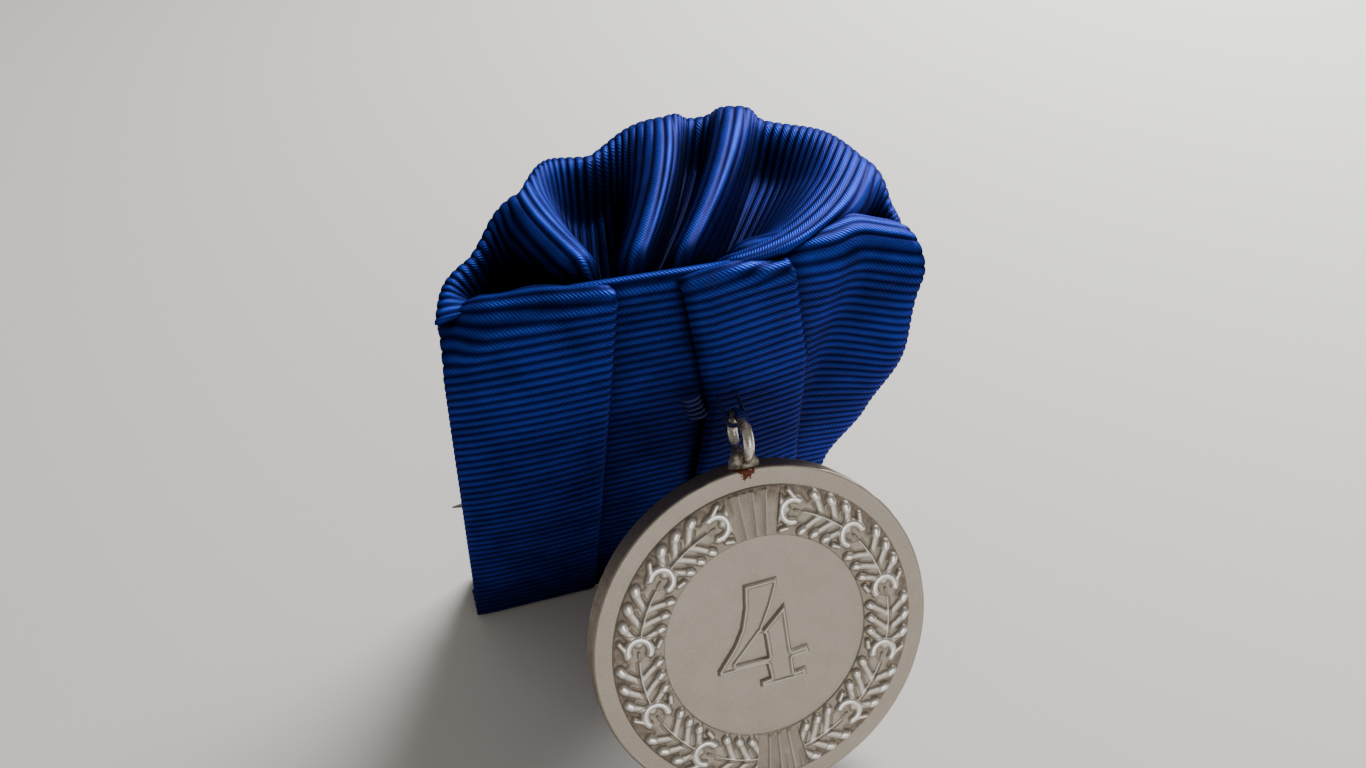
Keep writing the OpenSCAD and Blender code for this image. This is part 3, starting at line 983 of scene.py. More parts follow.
@dataclass
class GatheredFan:
    """The ribbon between its two legs, turned flat and gathered into folds that fan out backwards.

    Each wall between a crest and the bottom of a fold keeps its cloth's length from the selvedge to
    the gathered end, so it hangs deeper where the fold lines close up.

    Attributes:
        rays: The fold lines from left to right, crests and bottoms of folds by turns.
        bulges: How far each wall swells sideways at its selvedge, in plan.
        slack: Cloth in each wall, as a share of its widest gap.
        selvedge_rise: How much shallower the folds are at the selvedge.
        rest_z: Height of the padding that the folds lie on.
        radial: Points from the gathered end to the selvedge.
        plunge: How far the gathered end is drawn down.
        plunge_end: Share of the way out at which it stops.
        cloth_width: Width of ribbon that shows in the fan.
        tucked: Width of ribbon tucked in behind the gathered end.
    """

    weave: RibWeave
    mount: Lean
    rays: tuple[FanRay, ...] = (
        FanRay((-6.6, -11.5), (-17.9, -11.1), (0.0, 0.6), 43.9, 43.6),
        FanRay((-7.4, -9.9), (-14.6, -5.0), crest=False),
        FanRay((-6.5, -10.9), (-9.8, -0.6), (-0.9, 0.3), 45.2, 46.6),
        FanRay((-5.9, -9.4), (-2.9, 5.5), crest=False),
        FanRay((-4.6, -12.3), (4.6, 8.7), (0.9, -0.4), 45.0, 46.7),
        FanRay((-3.2, -9.6), (8.1, 9.9), (0.6, -0.6), crest=False),
        FanRay((-1.5, -12.5), (11.4, 9.3), (0.4, -1.2), 45.1, 46.6),
        FanRay((0.2, -9.6), (14.6, 8.3), (0.4, -1.0), crest=False),
        FanRay((0.8, -12.0), (18.8, -1.5), (0.0, -4.0), 44.9, 46.0),
        FanRay((3.6, -9.6), (19.4, -6.4), (0.4, -1.4), crest=False),
        FanRay((8.6, -10.2), (18.1, -10.0), (0.0, 0.2), 44.0, 43.6),
    )
    bulges: tuple[tuple[float, float], ...] = (
        (-0.6, 0.6), (-0.3, 0.5), (-0.3, 2.4), (0.0, 1.1), (0.1, 0.4), (0.0, 0.3), (0.2, 0.3),
        (1.2, 1.5), (0.5, 0.0), (0.3, 0.0))
    slack: tuple[float, ...] = (1.12, 1.12, 1.16, 1.10, 1.6, 1.6, 1.6, 1.12, 1.16, 1.14)
    selvedge_rise: float = 0.74
    rest_z: float = 38.9
    radial: int = 34
    plunge: float = 4.5
    plunge_end: float = 0.16
    cloth_width: float = 24.0
    tucked: float = 6.0

    @staticmethod
    def bends() -> tuple[Array, Array]:
        """Steepest angles of a bent wall, and the share of its length that it then spans."""
        angles = np.linspace(0, 2.3, 200)
        u = (np.arange(200) + 0.5) / 200
        return angles, np.cos(angles[:, None] * np.sin(math.pi * u)[None, :]).mean(axis=1)

    def walls(self, v: Array) -> tuple[list[Array], list[Array], list[float]]:
        """Steepest angle and drop of each wall at each v, and each wall's length."""
        angles, spans = self.bends()
        steep, drop, lengths = [], [], []
        u = (np.arange(200) + 0.5) / 200
        for a, b, slack in zip(self.rays[:-1], self.rays[1:], self.slack):
            gap = np.linalg.norm(b.plan(v) - a.plan(v), axis=-1)
            length = float(gap.max() * slack)
            phi = np.interp(-np.clip(gap / length, spans[-1], 1), -spans, angles)
            steep.append(phi)
            fall = length * np.sin(phi[:, None] * np.sin(math.pi * u)[None, :]).mean(axis=1)
            drop.append(fall * (1 - self.selvedge_rise * smooth(v, 0.78, 1.0)))
            lengths.append(length)
        return steep, drop, lengths

    def middle_table(self) -> tuple[Array, Array, Array]:
        """Points of the middle surface on a fine table of (place along the ribbon, v)."""
        v = np.linspace(0, 1, self.radial)
        steep, drop, lengths = self.walls(v)
        level = []
        for k, ray in enumerate(self.rays):
            if ray.crest:
                level.append(ray.height(v))
            else:
                left = self.rays[k - 1].height(v) - drop[k - 1]
                right = self.rays[k + 1].height(v) - drop[k]
                level.append((left + right) / 2)
        steps = 40
        u = (np.arange(steps) + 0.5) / steps
        table, place, total = [], [], 0.0
        for k, length in enumerate(lengths):
            a, b = self.rays[k], self.rays[k + 1]
            bend = steep[k][:, None] * np.sin(math.pi * u)[None, :]
            gone = np.concatenate((np.zeros((len(v), 1)), np.cumsum(np.cos(bend), axis=1)), axis=1)
            fallen = np.concatenate((np.zeros((len(v), 1)), np.cumsum(np.sin(bend), axis=1)), axis=1)
            gone /= gone[:, -1:]
            fallen /= np.maximum(fallen[:, -1:], 1e-9)
            pa, pb = a.plan(v), b.plan(v)
            t = np.linspace(0, 1, steps + 1)
            swell = np.sin(math.pi * t)[None, :, None] * (v ** 2.5)[:, None, None] * np.array(self.bulges[k])
            plan = pa[:, None, :] + (pb - pa)[:, None, :] * gone[..., None] + swell
            z = level[k][:, None] + (level[k + 1] - level[k])[:, None] * fallen
            z = z - self.plunge * np.clip(1 - v / self.plunge_end, 0, 1)[:, None] ** 2
            points = np.concatenate((plan, z[..., None]), axis=2).transpose(1, 0, 2)
            first = 0 if k == 0 else 1
            table.append(points[first:])
            place.append(total + t[first:] * length)
            total += length
        cloth = np.concatenate(table)
        # the folds lie on the padding and stay behind the front panels
        z = self.rest_z + np.log1p(np.exp((cloth[..., 2] - self.rest_z) * 2.0)) / 2.0
        limit = self.front(z) + 0.5
        cloth[..., 1] = np.where(z < 44.0, np.maximum(cloth[..., 1], limit), cloth[..., 1])
        cloth[..., 2] = z
        return cloth, np.concatenate(place), v

    def front(self, z: Array) -> Array:
        """Place of the back of the front panels at a height."""
        lean = math.radians(self.mount.angle)
        return self.mount.origin[1] - z * math.tan(lean) + 1.8 / math.cos(lean)

    def build(self) -> bpy.types.Object:
        """Makes the fan."""
        table, place, v = self.middle_table()

        def middle(s: Array, w: Array) -> Array:
            """Reads the table at the places asked for."""
            spot = np.clip(w / self.cloth_width, 0, 1.02)
            col = np.clip(spot * (len(v) - 1), 0, len(v) - 1.001)
            low = col.astype(int)
            part = (col - low)[..., None]
            row = np.clip(np.interp(s, place, np.arange(len(place))), 0, len(place) - 1.001)
            r0 = row.astype(int)
            q = (row - r0)[..., None]
            top = table[r0, low] * (1 - part) + table[r0, low + 1] * part
            bottom = table[r0 + 1, low] * (1 - part) + table[r0 + 1, low + 1] * part
            out = top * (1 - q) + bottom * q
            past = np.maximum(spot - 1, 0)[..., None] * self.cloth_width
            ray = table[r0, -1] - table[r0, -3]
            ray = ray / (np.linalg.norm(ray, axis=-1, keepdims=True) + 1e-9)
            tucked = np.minimum(w, 0)[..., None] * np.array((0.0, -1.0, 0.08))
            return out + ray * past + tucked

        across = np.concatenate((np.linspace(-self.tucked, -1, 5),
                                 np.linspace(0, self.cloth_width, self.radial)))
        piece = self.weave.shell("ribbon_gathered_fan", middle, 0.0, float(place[-1]), across)
        log.info("fan: %.1f mm of ribbon", place[-1])
        self.length = float(place[-1])
        return piece


@dataclass
class Ribbon:
    """The whole ribbon: two legs, the fan between them and the hem behind."""

    mount: Lean
    weave: RibWeave = field(default_factory=RibWeave)

    def hem(self) -> bpy.types.Object:
        """The ribbon's end turned up over the lining."""
        lean = math.radians(self.mount.angle)

        def middle(s: Array, w: Array) -> Array:
            """Upright behind the lining, then forward under its foot."""
            r, depth = 0.8, 5.98
            foot = (0.33 - (depth - r) * math.sin(lean)) / math.cos(lean) + r
            below = foot - s
            turn = np.clip(below / r, 0, math.pi / 2 + lean)
            past = np.maximum(below - r * (math.pi / 2 + lean), 0)
            y = np.where(below > 0, depth - r * (1 - np.cos(turn)) - past * math.cos(lean), depth)
            z = np.where(below > 0, foot - r * np.sin(turn) + past * math.sin(lean), s)
            y = y + 0.06 * np.sin(w * 0.9) * smooth(s, 1, 5)
            z = z + 0.15 * np.sin(w * 0.5 + 1) * smooth(s, 2, 5.5)
            return self.mount.place(np.stack((w - 17.1, y, z), axis=-1))

        return self.weave.shell("ribbon_hem_turned_up", middle, -6.0, 5.6, np.linspace(0, 34.2, 60))

    def build(self) -> None:
        """Makes and dresses the ribbon's pieces."""
        left = LeftLeg("ribbon_left_leg", self.weave, self.mount).build()
        right = RightLeg("ribbon_right_leg", self.weave, self.mount).build()
        fan = GatheredFan(RibWeave(swell=0.17), self.mount)
        gathered = fan.build()
        hem = self.hem()
        SILK.put_on(left)
        STAINED_SILK.put_on(right)
        SILK.put_on(gathered)
        SILK.put_on(hem)
        for piece in (left, right, gathered, hem):
            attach(piece, "mount")
        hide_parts("ribbon_left_wing", "ribbon_left_under")
        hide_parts("ribbon_centre_strip", "ribbon_right_wing")
        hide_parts("ribbon_fan")
        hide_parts("ribbon_hem")


# ---------------------------------------------------------------- padding, plate and lining


@dataclass
class SlabShape:
    """A rounded slab of the mount, cut level at its foot and its top.

    Attributes:
        half: Half width.
        depth: Depth of its front face behind the ribbon's face.
        thick: Thickness.
        foot: Height of its foot above the floor.
        top: Height of its top.
        round: Radius of its corners and edges.
        fuzz: Height of the unevenness of its surface.
    """

    half: float
    depth: float
    thick: float
    foot: float
    top: float
    round: float = 0.5
    fuzz: float = 0.0

    def build(self, name: str, mount: Lean) -> bpy.types.Object:
        """Makes the slab as a closed grid."""
        lean = math.radians(mount.angle)
        across = 72
        up = 84
        u = np.linspace(-1, 1, across)
        t = np.linspace(0, 1, up)
        x = np.sign(u) * (1 - (1 - np.abs(u)) ** 1.15) * self.half
        big_z, big_x = np.meshgrid(self.foot + (self.top - self.foot) * t, x, indexing="ij")
        edge = np.minimum(np.minimum(self.half - np.abs(big_x), big_z - self.foot), self.top - big_z)
        bulge = np.sqrt(np.clip(1 - (1 - np.clip(edge / self.round, 0, 1)) ** 2, 0.02, 1))
        half_t = self.thick / 2 * bulge
        mid = self.depth + self.thick / 2
        shells = []
        for side in (-1, 1):
            depth = mid + side * half_t
            if self.fuzz:
                wobble = np.array([[noise.noise(Vector((px * 0.9, pz * 0.9, side * 7.0))) for px in row_x]
                                   for row_x, pz in zip(big_x, big_z[:, 0])])
                depth = depth + self.fuzz * wobble
            along = (big_z - depth * math.sin(lean)) / math.cos(lean)
            shells.append(mount.place(np.stack((big_x, depth, along), axis=-1)).reshape(-1, 3))
        return make_mesh(name, np.concatenate(shells), shell_faces(up, across))


@dataclass
class MountCore:
    """What the ribbon is sewn round: padding, stiffening plate and lining."""

    mount: Lean
    padding: SlabShape = field(default_factory=lambda: SlabShape(17.0, 1.85, 1.9, 0.75, 37.9, 0.7, 0.05))
    plate: SlabShape = field(default_factory=lambda: SlabShape(16.5, 3.82, 0.56, 0.8, 36.9, 0.2))
    lining: SlabShape = field(default_factory=lambda: SlabShape(17.5, 4.42, 1.16, 0.75, 37.9, 0.4, 0.05))

    def build(self) -> None:
        """Makes and dresses the three layers."""
        pad = self.padding.build("front_padding_felt", self.mount)
        plate = self.plate.build("stiffening_plate", self.mount)
        lining = self.lining.build("back_lining_felt", self.mount)
        layers = ((pad, FELT, "felt", "front_padding"), (plate, ZINC, "plate_zinc", "base_plate"),
                  (lining, FELT, "felt", "back_lining"))
        for piece, finish, slot, node in layers:
            finish.put_on(piece)
            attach(piece, "mount")
            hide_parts(node)
            log.info("%s made", piece.name)


# ---------------------------------------------------------------- the medal


def line_distance(x: Array, y: Array, line: Sequence[tuple[float, float]]) -> Array:
    """Distance from each (x, y) to a line of straight stretches."""
    best = np.full(np.shape(x), 1e9)
    for (ax, ay), (bx, by) in zip(line[:-1], line[1:]):
        dx, dy = bx - ax, by - ay
        t = np.clip(((x - ax) * dx + (y - ay) * dy) / (dx * dx + dy * dy + 1e-12), 0, 1)
        best = np.minimum(best, np.hypot(x - ax - t * dx, y - ay - t * dy))
    return best


def bead(distance: Array, half: float, high: float) -> Array:
    """Height of a round-topped ridge at a distance from its middle line."""
    return high * np.clip(1 - (distance / half) ** 2, 0, 1) ** 0.6


@dataclass(frozen=True)
class OakLeaf:
    """One leaf of the wreath as a height over its stretch of the band.

    t runs up the wreath from the stem and q outwards from the band's middle. The leaf has a midrib
    with a groove beside it, three lobes a side that sweep up to beads, and a cupped head.

    Attributes:
        pitch: Length of one leaf along the band's middle.
        tips: Places of the lobes' beads.
        lobe_q: Distance of the beads from the midrib.
    """

    pitch: float = 6.177
    tips: tuple[float, ...] = (0.55, 1.95, 3.35)
    lobe_q: float = 1.6

    def one(self, t: Array, q: Array) -> Array:
        """Height of a single leaf over the band."""
        lobes = 1.25 + 0.28 * np.cos(2 * math.pi * (t - self.tips[0] + 0.15) / 1.4)
        ends = smooth(t, -0.5, 0.1) * (1 - smooth(t, 4.3, 4.9))
        h = 0.17 * np.clip(1 - (q / lobes) ** 2, 0, 1) ** 0.5 * ends
        for side in (-1, 1):
            for tip in self.tips:
                tip = tip + (0.18 if side < 0 else 0.0)
                sweep = [(tip - 1.2, side * 0.1), (tip - 0.75, side * 0.6), (tip - 0.4, side * 1.05),
                         (tip - 0.12, side * 1.4), (tip + 0.02, side * self.lobe_q)]
                h = np.maximum(h, bead(line_distance(t, q, sweep), 0.46, 0.25))
                top = [(tip - 0.05, side * (self.lobe_q - 0.12)), (tip + 0.16, side * (self.lobe_q + 0.06))]
                h = np.maximum(h, bead(line_distance(t, q, top), 0.46, 0.36))
                vein = [(tip - 0.62, side * 0.12), (tip + 0.02, side * 0.95)]
                h = h - bead(line_distance(t, q, vein), 0.12, 0.1)
        h = h - 0.12 * np.exp(-((q - 0.24) / 0.1) ** 2) * smooth(t, -0.6, 0) * (1 - smooth(t, 3.9, 4.3))
        h = np.maximum(h, bead(line_distance(t, q, [(-0.4, 0.0), (4.5, 0.0)]), 0.12, 0.3))
        # the cupped head: a horseshoe rim, open to the stem, round a smooth hollow
        away = np.hypot(t - 4.95, q - 0.03)
        turn = np.abs(np.arctan2(q - 0.03, t - 4.95))
        inside = 1 - smooth(away, 0.78, 0.95)
        h = h * (1 - inside) + inside * (0.03 + 0.09 * (away / 0.8) ** 2)
        rim = bead(np.abs(away - 0.98), 0.42, 0.34) * (1 - smooth(turn, 2.0, 2.5))
        h = np.maximum(h, rim)
        spur = [(4.15, 0.0), (4.75, 0.05)]
        h = np.maximum(h, bead(line_distance(t, q, spur), 0.12, 0.2))
        horn = [(4.8, 1.12), (5.15, 1.3), (5.6, 1.75)]
        h = np.maximum(h, bead(line_distance(t, q, horn), 0.26, 0.3))
        drop = [(5.2, -1.52), (5.85, -1.72)]
        return np.maximum(h, bead(line_distance(t, q, drop), 0.28, 0.3))

    def height(self, t: Array, q: Array) -> Array:
        """Height of the leaf and of its neighbours' ends over the band."""
        before, after = self.one(t + self.pitch, q), self.one(t - self.pitch, q)
        return np.maximum(self.one(t, q), np.maximum(before, after))


@dataclass(frozen=True)
class FlutedTie:
    """Fan-wise flutes that tie the wreath's sides; each rises slowly and drops steeply.

    Attributes:
        full: Angles of the ridges that run the band's whole width, in degrees.
        short: Angles of the ridges that run its outer half.
        half_angle: Half of the tie's angle.
    """

    full: tuple[float, ...] = (-5.0, 0.6, 5.6)
    short: tuple[float, ...] = (-8.2, -2.4)
    half_angle: float = 11.0

    def height(self, angle: Array, q: Array) -> Array:
        """Height over the band at an angle clockwise from the tie's middle."""
        def saw(lines: Sequence[float], start: float) -> Array:
            """Rises from each line to the next."""
            h, low = np.zeros_like(angle), start
            for line in lines:
                part = (angle - low) / (line - low)
                h = np.where((part > 0) & (part <= 1), np.clip(part, 0, 1) ** 2.2, h)
                low = line
            return h

        full, short = (saw(lines, -self.half_angle) for lines in (self.full, self.short))
        h = np.maximum(0.27 * full, 0.22 * short * smooth(q, -0.5, 0.9))
        return h * smooth(q, -2.2, -1.9) * (1 - smooth(q, 1.85, 2.05)) * (1 - smooth(angle, 7.5, 8.5))


@dataclass
class StruckDisc:
    """The medal's disc: blank, wreath and numeral, in the medal's frame.

    Attributes:
        radius: Radius of the blank.
        thick: Thickness at the rim band.
        band_mid: Middle radius of the wreath band.
        band_half: Half width of the wreath band.
        band_high: Height of the band over rim and field.
        leaves: Leaves on each side.
        leaf: The leaf that is repeated.
        tie: The flutes at the top and the bottom.
        numeral: Corners of the figure's outline.
        counter: Corners of the hole in it.
        numeral_high: Height of its outline over the field.
    """

    frame: Lean
    radius: float = 15.0
    thick: float = 2.4
    band_mid: float = 11.2
    band_half: float = 2.2
    band_high: float = 0.12
    leaves: int = 5
    leaf: OakLeaf = field(default_factory=OakLeaf)
    tie: FlutedTie = field(default_factory=FlutedTie)
    numeral: tuple[tuple[float, float], ...] = (
        (-1.66, 5.14), (1.4, 5.2), (1.31, 4.44), (0.64, 2.78), (-0.4, 0.78), (1.84, 2.72), (2.02, -1.72),
        (3.51, -1.61), (3.66, -2.43), (2.08, -2.51), (2.11, -3.75), (3.15, -3.63), (3.19, -4.52),
        (-1.08, -4.49), (-1.1, -3.81), (-0.22, -3.71), (-0.38, -2.5), (-4.68, -2.45), (-4.72, -1.96),
        (-3.09, -0.01), (-2.32, 1.35), (-1.83, 3.16))
    counter: tuple[tuple[float, float], ...] = (
        (-3.0, -1.76), (-1.72, -0.5), (-0.66, 0.55), (-0.3, 0.3), (-0.2, -1.79))
    numeral_high: float = 0.3

    def face(self) -> float:
        """Depth of the front of the rim and the field."""
        return -self.thick / 2

    def slab(self, name: str, x: Array, z: Array, high: Array, marks: dict[str, Array]) -> bpy.types.Object:
        """A closed relief over a grid of places; high is its height over the field, sunk where below 0."""
        rows, cols = x.shape
        front = np.stack((x, self.face() - high, z), axis=-1).reshape(-1, 3)
        ring = border_ring(rows, cols)
        back = front[ring] * (1, 0, 1) + (0, self.face() + 0.25, 0)
        n = rows * cols
        under = n + np.arange(len(ring))
        walls = np.stack((np.roll(ring, -1), ring, under, np.roll(under, -1)), axis=1)
        faces = grid_quads(rows, cols).tolist() + walls.tolist() + [under.tolist()]
        values = {key: np.append(value.ravel(), value.ravel()[ring]) for key, value in marks.items()}
        return make_mesh(name, np.concatenate((front, back)), faces, attributes=values)

    def blank(self) -> bpy.types.Object:
        """The plain disc, turned from its profile."""
        around = 360
        f, r = self.face(), self.radius
        profile = [(r - 0.32, f), (r - 0.2, f - 0.02), (r - 0.1, f + 0.01), (r - 0.03, f + 0.07),
                   (r, f + 0.16), (r, f + 0.5), (r - 0.02, 0.0), (r, -f - 0.5), (r, -f - 0.16),
                   (r - 0.06, -f - 0.05), (r - 0.2, -f), (r - 0.5, -f), (r - 0.9, -f),
                   (13.2, -f), (8.0, -f), (2.0, -f)]
        front = [(rr, f) for rr in (2.0, 5.0, 8.0, 10.5, 13.0, 14.2, 14.55)]
        rings = front + profile
        turn = np.arange(around) * 2 * math.pi / around
        points, rust, dirt = [], [], []
        for rr, y in rings:
            worn = np.zeros(around)
            edge = np.zeros(around)
            for k, a in enumerate(turn):
                at = Vector((math.sin(a) * 9, math.cos(a) * 9, 3.0))
                worn[k] = max(noise.noise(at) + 0.5 * noise.noise(at * 3.1), 0) * 0.09
                edge[k] = 0.5 + 0.5 * noise.noise(at * 1.7)
            chip = worn * (rr > r - 0.25) * (y > f + 0.05) * (y < -f - 0.1)
            reach = rr - chip
            points.append(np.stack((reach * np.sin(turn), np.full(around, y), reach * np.cos(turn)), axis=1))
            near_loop = np.exp(-((np.where(turn > math.pi, turn - 2 * math.pi, turn) + 0.02) / 0.10) ** 2)
            rust.append(near_loop * (13.6 < rr) * 0.92 + 0.25 * (y > f + 0.1) * edge)
            dirt.append((0.95 * (y > f + 0.1) * (y < -f - 0.1) + 0.3 * (y >= -f - 0.05)) * np.ones(around))
        points = np.concatenate(points + [np.array([(0, f, 0), (0, -f, 0)])])
        faces = ring_faces(len(rings), around) + closing_faces(len(rings), around)
        zeros = np.zeros(len(points))
        rust, dirt = np.append(np.concatenate(rust), (0, 0)), np.append(np.concatenate(dirt), (0, 0.3))
        return make_mesh("disc_blank", points, faces, attributes={"dirt": dirt, "worn": zeros, "rust": rust})

    def band_slab(self, name: str, length: float, cols: int, high: Callable[[Array, Array], Array],
                  mirror: bool = False, soil: float = 1.0) -> bpy.types.Object:
        """Relief over a stretch of the band that starts at the top and runs clockwise.

        Args:
            name: The mesh's name.
            length: Its length along the band's middle.
            cols: Points along it.
            high: Height over the band, from place along and place outwards.
            mirror: Whether it runs anticlockwise instead.
            soil: How much dirt its recesses hold.

        Returns:
            The piece.
        """
        t = np.linspace(0, length, cols)
        inner = np.linspace(-1, 1, 66) * (self.band_half - 0.05)
        rim, skirt = self.band_half, self.band_half + 0.08
        q = np.concatenate(([-skirt, -rim], inner, [rim, skirt]))
        big_t, big_q = np.meshgrid(t, q, indexing="ij")
        edge = 1 - smooth(np.abs(big_q), self.band_half - 0.08, self.band_half + 0.06)
        relief = high(big_t, big_q)
        over = self.band_high + relief
        h = over * edge - 0.05 * (1 - edge)
        angle = big_t / self.band_mid
        x, z = (self.band_mid + big_q) * np.sin(angle), (self.band_mid + big_q) * np.cos(angle)
        low = np.clip((0.12 - relief) / 0.12, 0, 1)
        dirt = soil * low * (0.3 + 0.8 * smooth(big_q, 0.5, 1.9)) * (1 - smooth(np.abs(big_q), 2.12, 2.2))
        # worn: wear on the relief's high points, which also lightens them as a painted highlight
        worn = smooth(relief, 0.16, 0.36) * 0.95
        return self.slab(name, -x if mirror else x, z, h, {"dirt": dirt, "worn": worn, "rust": 0 * low})

    def figure(self) -> bpy.types.Object:
        """The numeral, as a thin bevelled face whose outline stands up."""
        x, z = np.meshgrid(np.arange(-5.1, 4.1, 0.06), np.arange(-4.9, 5.6, 0.06), indexing="ij")
        inside = np.zeros(x.shape, bool)
        away = np.full(x.shape, 1e9)
        for outline in (self.numeral, self.counter):
            ring = list(outline) + [outline[0]]
            away = np.minimum(away, line_distance(x, z, ring))
            for (ax, az), (bx, bz) in zip(ring[:-1], ring[1:]):
                crosses = ((az > z) != (bz > z)) & (x < (bx - ax) * (z - az) / (bz - az + 1e-12) + ax)
                inside ^= crosses
        d = np.where(inside, away, -away)
        wall, dish = smooth(d, -0.03, 0.2), smooth(d, 0.26, 0.5)
        high = self.numeral_high * wall - 0.12 * dish - 0.06 * (1 - smooth(d, -0.12, 0.0))
        # worn: a thin bright line on the top edge of the bevel, partly wear and partly a painted highlight
        worn = 0.35 * np.exp(-((d - 0.2) / 0.09) ** 2)
        dirt = 0.8 * np.exp(-((d + 0.02) / 0.08) ** 2)
        return self.slab("numeral", x, z, high, {"dirt": dirt, "worn": worn, "rust": 0 * d})

    def build(self) -> tuple[bpy.types.Object, bpy.types.Object]:
        """Makes the disc with its numeral, and the wreath that is struck on it, in place."""
        start = 180 - self.tie.half_angle
        step = (180 - 2 * self.tie.half_angle) / self.leaves
        parts = []
        for mirror in (False, True):
            cell = self.band_slab(f"leaf_{int(mirror)}", self.leaf.pitch, 92, self.leaf.height, mirror)
            side = 1 if mirror else -1
            parts.append(scatter("wreath_side", cell, self.leaves, turn=(0, math.radians(side * start), 0),
                                 turn_step=(0, -math.radians(side * step), 0), finish=SILVER))
        width = 2 * math.radians(self.tie.half_angle) * self.band_mid

        def flutes(t: Array, q: Array) -> Array:
            """The tie's height, from the place along the band."""
            return self.tie.height(np.degrees(t / self.band_mid) - self.tie.half_angle, q)

        cell = self.band_slab("tie_cell", width, 92, flutes)
        parts.append(scatter("wreath_ties", cell, 2, turn=(0, math.radians(-self.tie.half_angle), 0),
                             turn_step=(0, math.pi, 0), finish=SILVER))
        disc = joined("medal_struck_disc", [self.blank(), self.figure()])
        wreath = joined("medal_wreath_relief", parts)
        for piece in (disc, wreath):
            piece.data.transform(self.frame.matrix())
            SILVER.put_on(piece)
        return disc, wreath


def joined(name: str, parts: Sequence[bpy.types.Object]) -> bpy.types.Object:
    """Joins pieces into one object of that name."""
    bpy.ops.object.select_all(action="DESELECT")
    for part in parts:
        part.select_set(True)
    bpy.context.view_layer.objects.active = parts[0]
    bpy.ops.object.join()
    parts[0].name = parts[0].data.name = name
    return parts[0]


def scatter_tree() -> bpy.types.NodeTree:
    """Geometry Nodes that set copies of a piece in a row or round an axis."""
    found = bpy.data.node_groups.get("set_in_row")
    if found:
        return found
    tree = bpy.data.node_groups.new("set_in_row", "GeometryNodeTree")
    face = tree.interface
    face.new_socket("Geometry", in_out="OUTPUT", socket_type="NodeSocketGeometry")
    sockets = {"Piece": "Object", "Count": "Int", "Start": "Vector", "Step": "Vector", "Turn": "Vector",
               "Turn step": "Vector", "Jitter": "Float", "Seed": "Int", "Finish": "Material"}
    for label, kind in sockets.items():
        face.new_socket(label, in_out="INPUT", socket_type="NodeSocket" + kind)
    give = tree.nodes.new("NodeGroupInput")
    out = tree.nodes.new("NodeGroupOutput")
    line = add_node(tree, "GeometryNodeMeshLine", {"mode": "OFFSET"}, Count=give.outputs["Count"],
                    Start_Location=give.outputs["Start"], Offset=give.outputs["Step"])
    piece = add_node(tree, "GeometryNodeObjectInfo", {"transform_space": "ORIGINAL"},
                     Object=give.outputs["Piece"])
    index = add_node(tree, "GeometryNodeInputIndex")
    turned = add_node(tree, "ShaderNodeVectorMath", {"operation": "SCALE"}, i0=give.outputs["Turn step"])
    tree.links.new(index.outputs[0], turned.inputs["Scale"])
    shaken = tree.nodes.new("FunctionNodeRandomValue")
    shaken.data_type = "FLOAT_VECTOR"
    below = add_node(tree, "ShaderNodeMath", {"operation": "MULTIPLY"}, i0=give.outputs["Jitter"], i1=-1.0)
    tree.links.new(below.outputs[0], shaken.inputs[0])
    tree.links.new(give.outputs["Jitter"], shaken.inputs[1])
    tree.links.new(give.outputs["Seed"], shaken.inputs["Seed"])
    summed = add_node(tree, "ShaderNodeVectorMath", {"operation": "ADD"}, i0=give.outputs["Turn"],
                      i1=turned.outputs[0])
    summed = add_node(tree, "ShaderNodeVectorMath", {"operation": "ADD"}, i0=summed.outputs[0],
                      i1=shaken.outputs[0])
    copies = add_node(tree, "GeometryNodeInstanceOnPoints", None, Points=line.outputs[0],
                      Instance=piece.outputs["Geometry"], Rotation=summed.outputs[0])
    real = add_node(tree, "GeometryNodeRealizeInstances", None, Geometry=copies.outputs[0])
    dressed = add_node(tree, "GeometryNodeSetMaterial", None, Geometry=real.outputs[0],
                       Material=give.outputs["Finish"])
    tree.links.new(dressed.outputs[0], out.inputs[0])
    return tree


def scatter(name: str, piece: bpy.types.Object, count: int, finish: Finish,
            start: Sequence[float] = (0, 0, 0), step: Sequence[float] = (0, 0, 0),
            turn: Sequence[float] = (0, 0, 0), turn_step: Sequence[float] = (0, 0, 0),
            jitter: float = 0.0, seed: int = 1) -> bpy.types.Object:
    """Sets copies of a piece in a row or round an axis, and makes them one plain mesh.

    Args:
        name: Name of the result.
        piece: What is copied; it is removed afterwards.
        count: Number of copies.
        finish: The copies' finish.
        start: Place of the first, in mm.
        step: Move from one to the next, in mm.
        turn: Turn of the first, in radians about X, Y and Z.
        turn_step: Turn from one to the next.
        jitter: Most that a copy is turned at random.
        seed: Seed of the random turns.

    Returns:
        The plain mesh object.
    """
    host = bpy.data.objects.new(name + "_host", bpy.data.meshes.new(name + "_host"))
    bpy.context.scene.collection.objects.link(host)
    modifier = host.modifiers.new("row", "NODES")
    modifier.node_group = scatter_tree()
    values = {"Piece": piece, "Count": count, "Start": tuple(c * MM for c in start),
              "Step": tuple(c * MM for c in step), "Turn": tuple(turn), "Turn step": tuple(turn_step),
              "Jitter": jitter, "Seed": seed, "Finish": finish.material()}
    for item in modifier.node_group.interface.items_tree:
        if item.in_out == "INPUT":
            modifier[item.identifier] = values[item.name]
    bpy.context.view_layer.update()
    depsgraph = bpy.context.evaluated_depsgraph_get()
    mesh = bpy.data.meshes.new_from_object(host.evaluated_get(depsgraph), depsgraph=depsgraph)
    host.modifiers.remove(modifier)
    bpy.data.objects.remove(host)
    bpy.data.objects.remove(piece)
    mesh.name = name
    result = bpy.data.objects.new(name, mesh)
    bpy.context.scene.collection.objects.link(result)
    return result


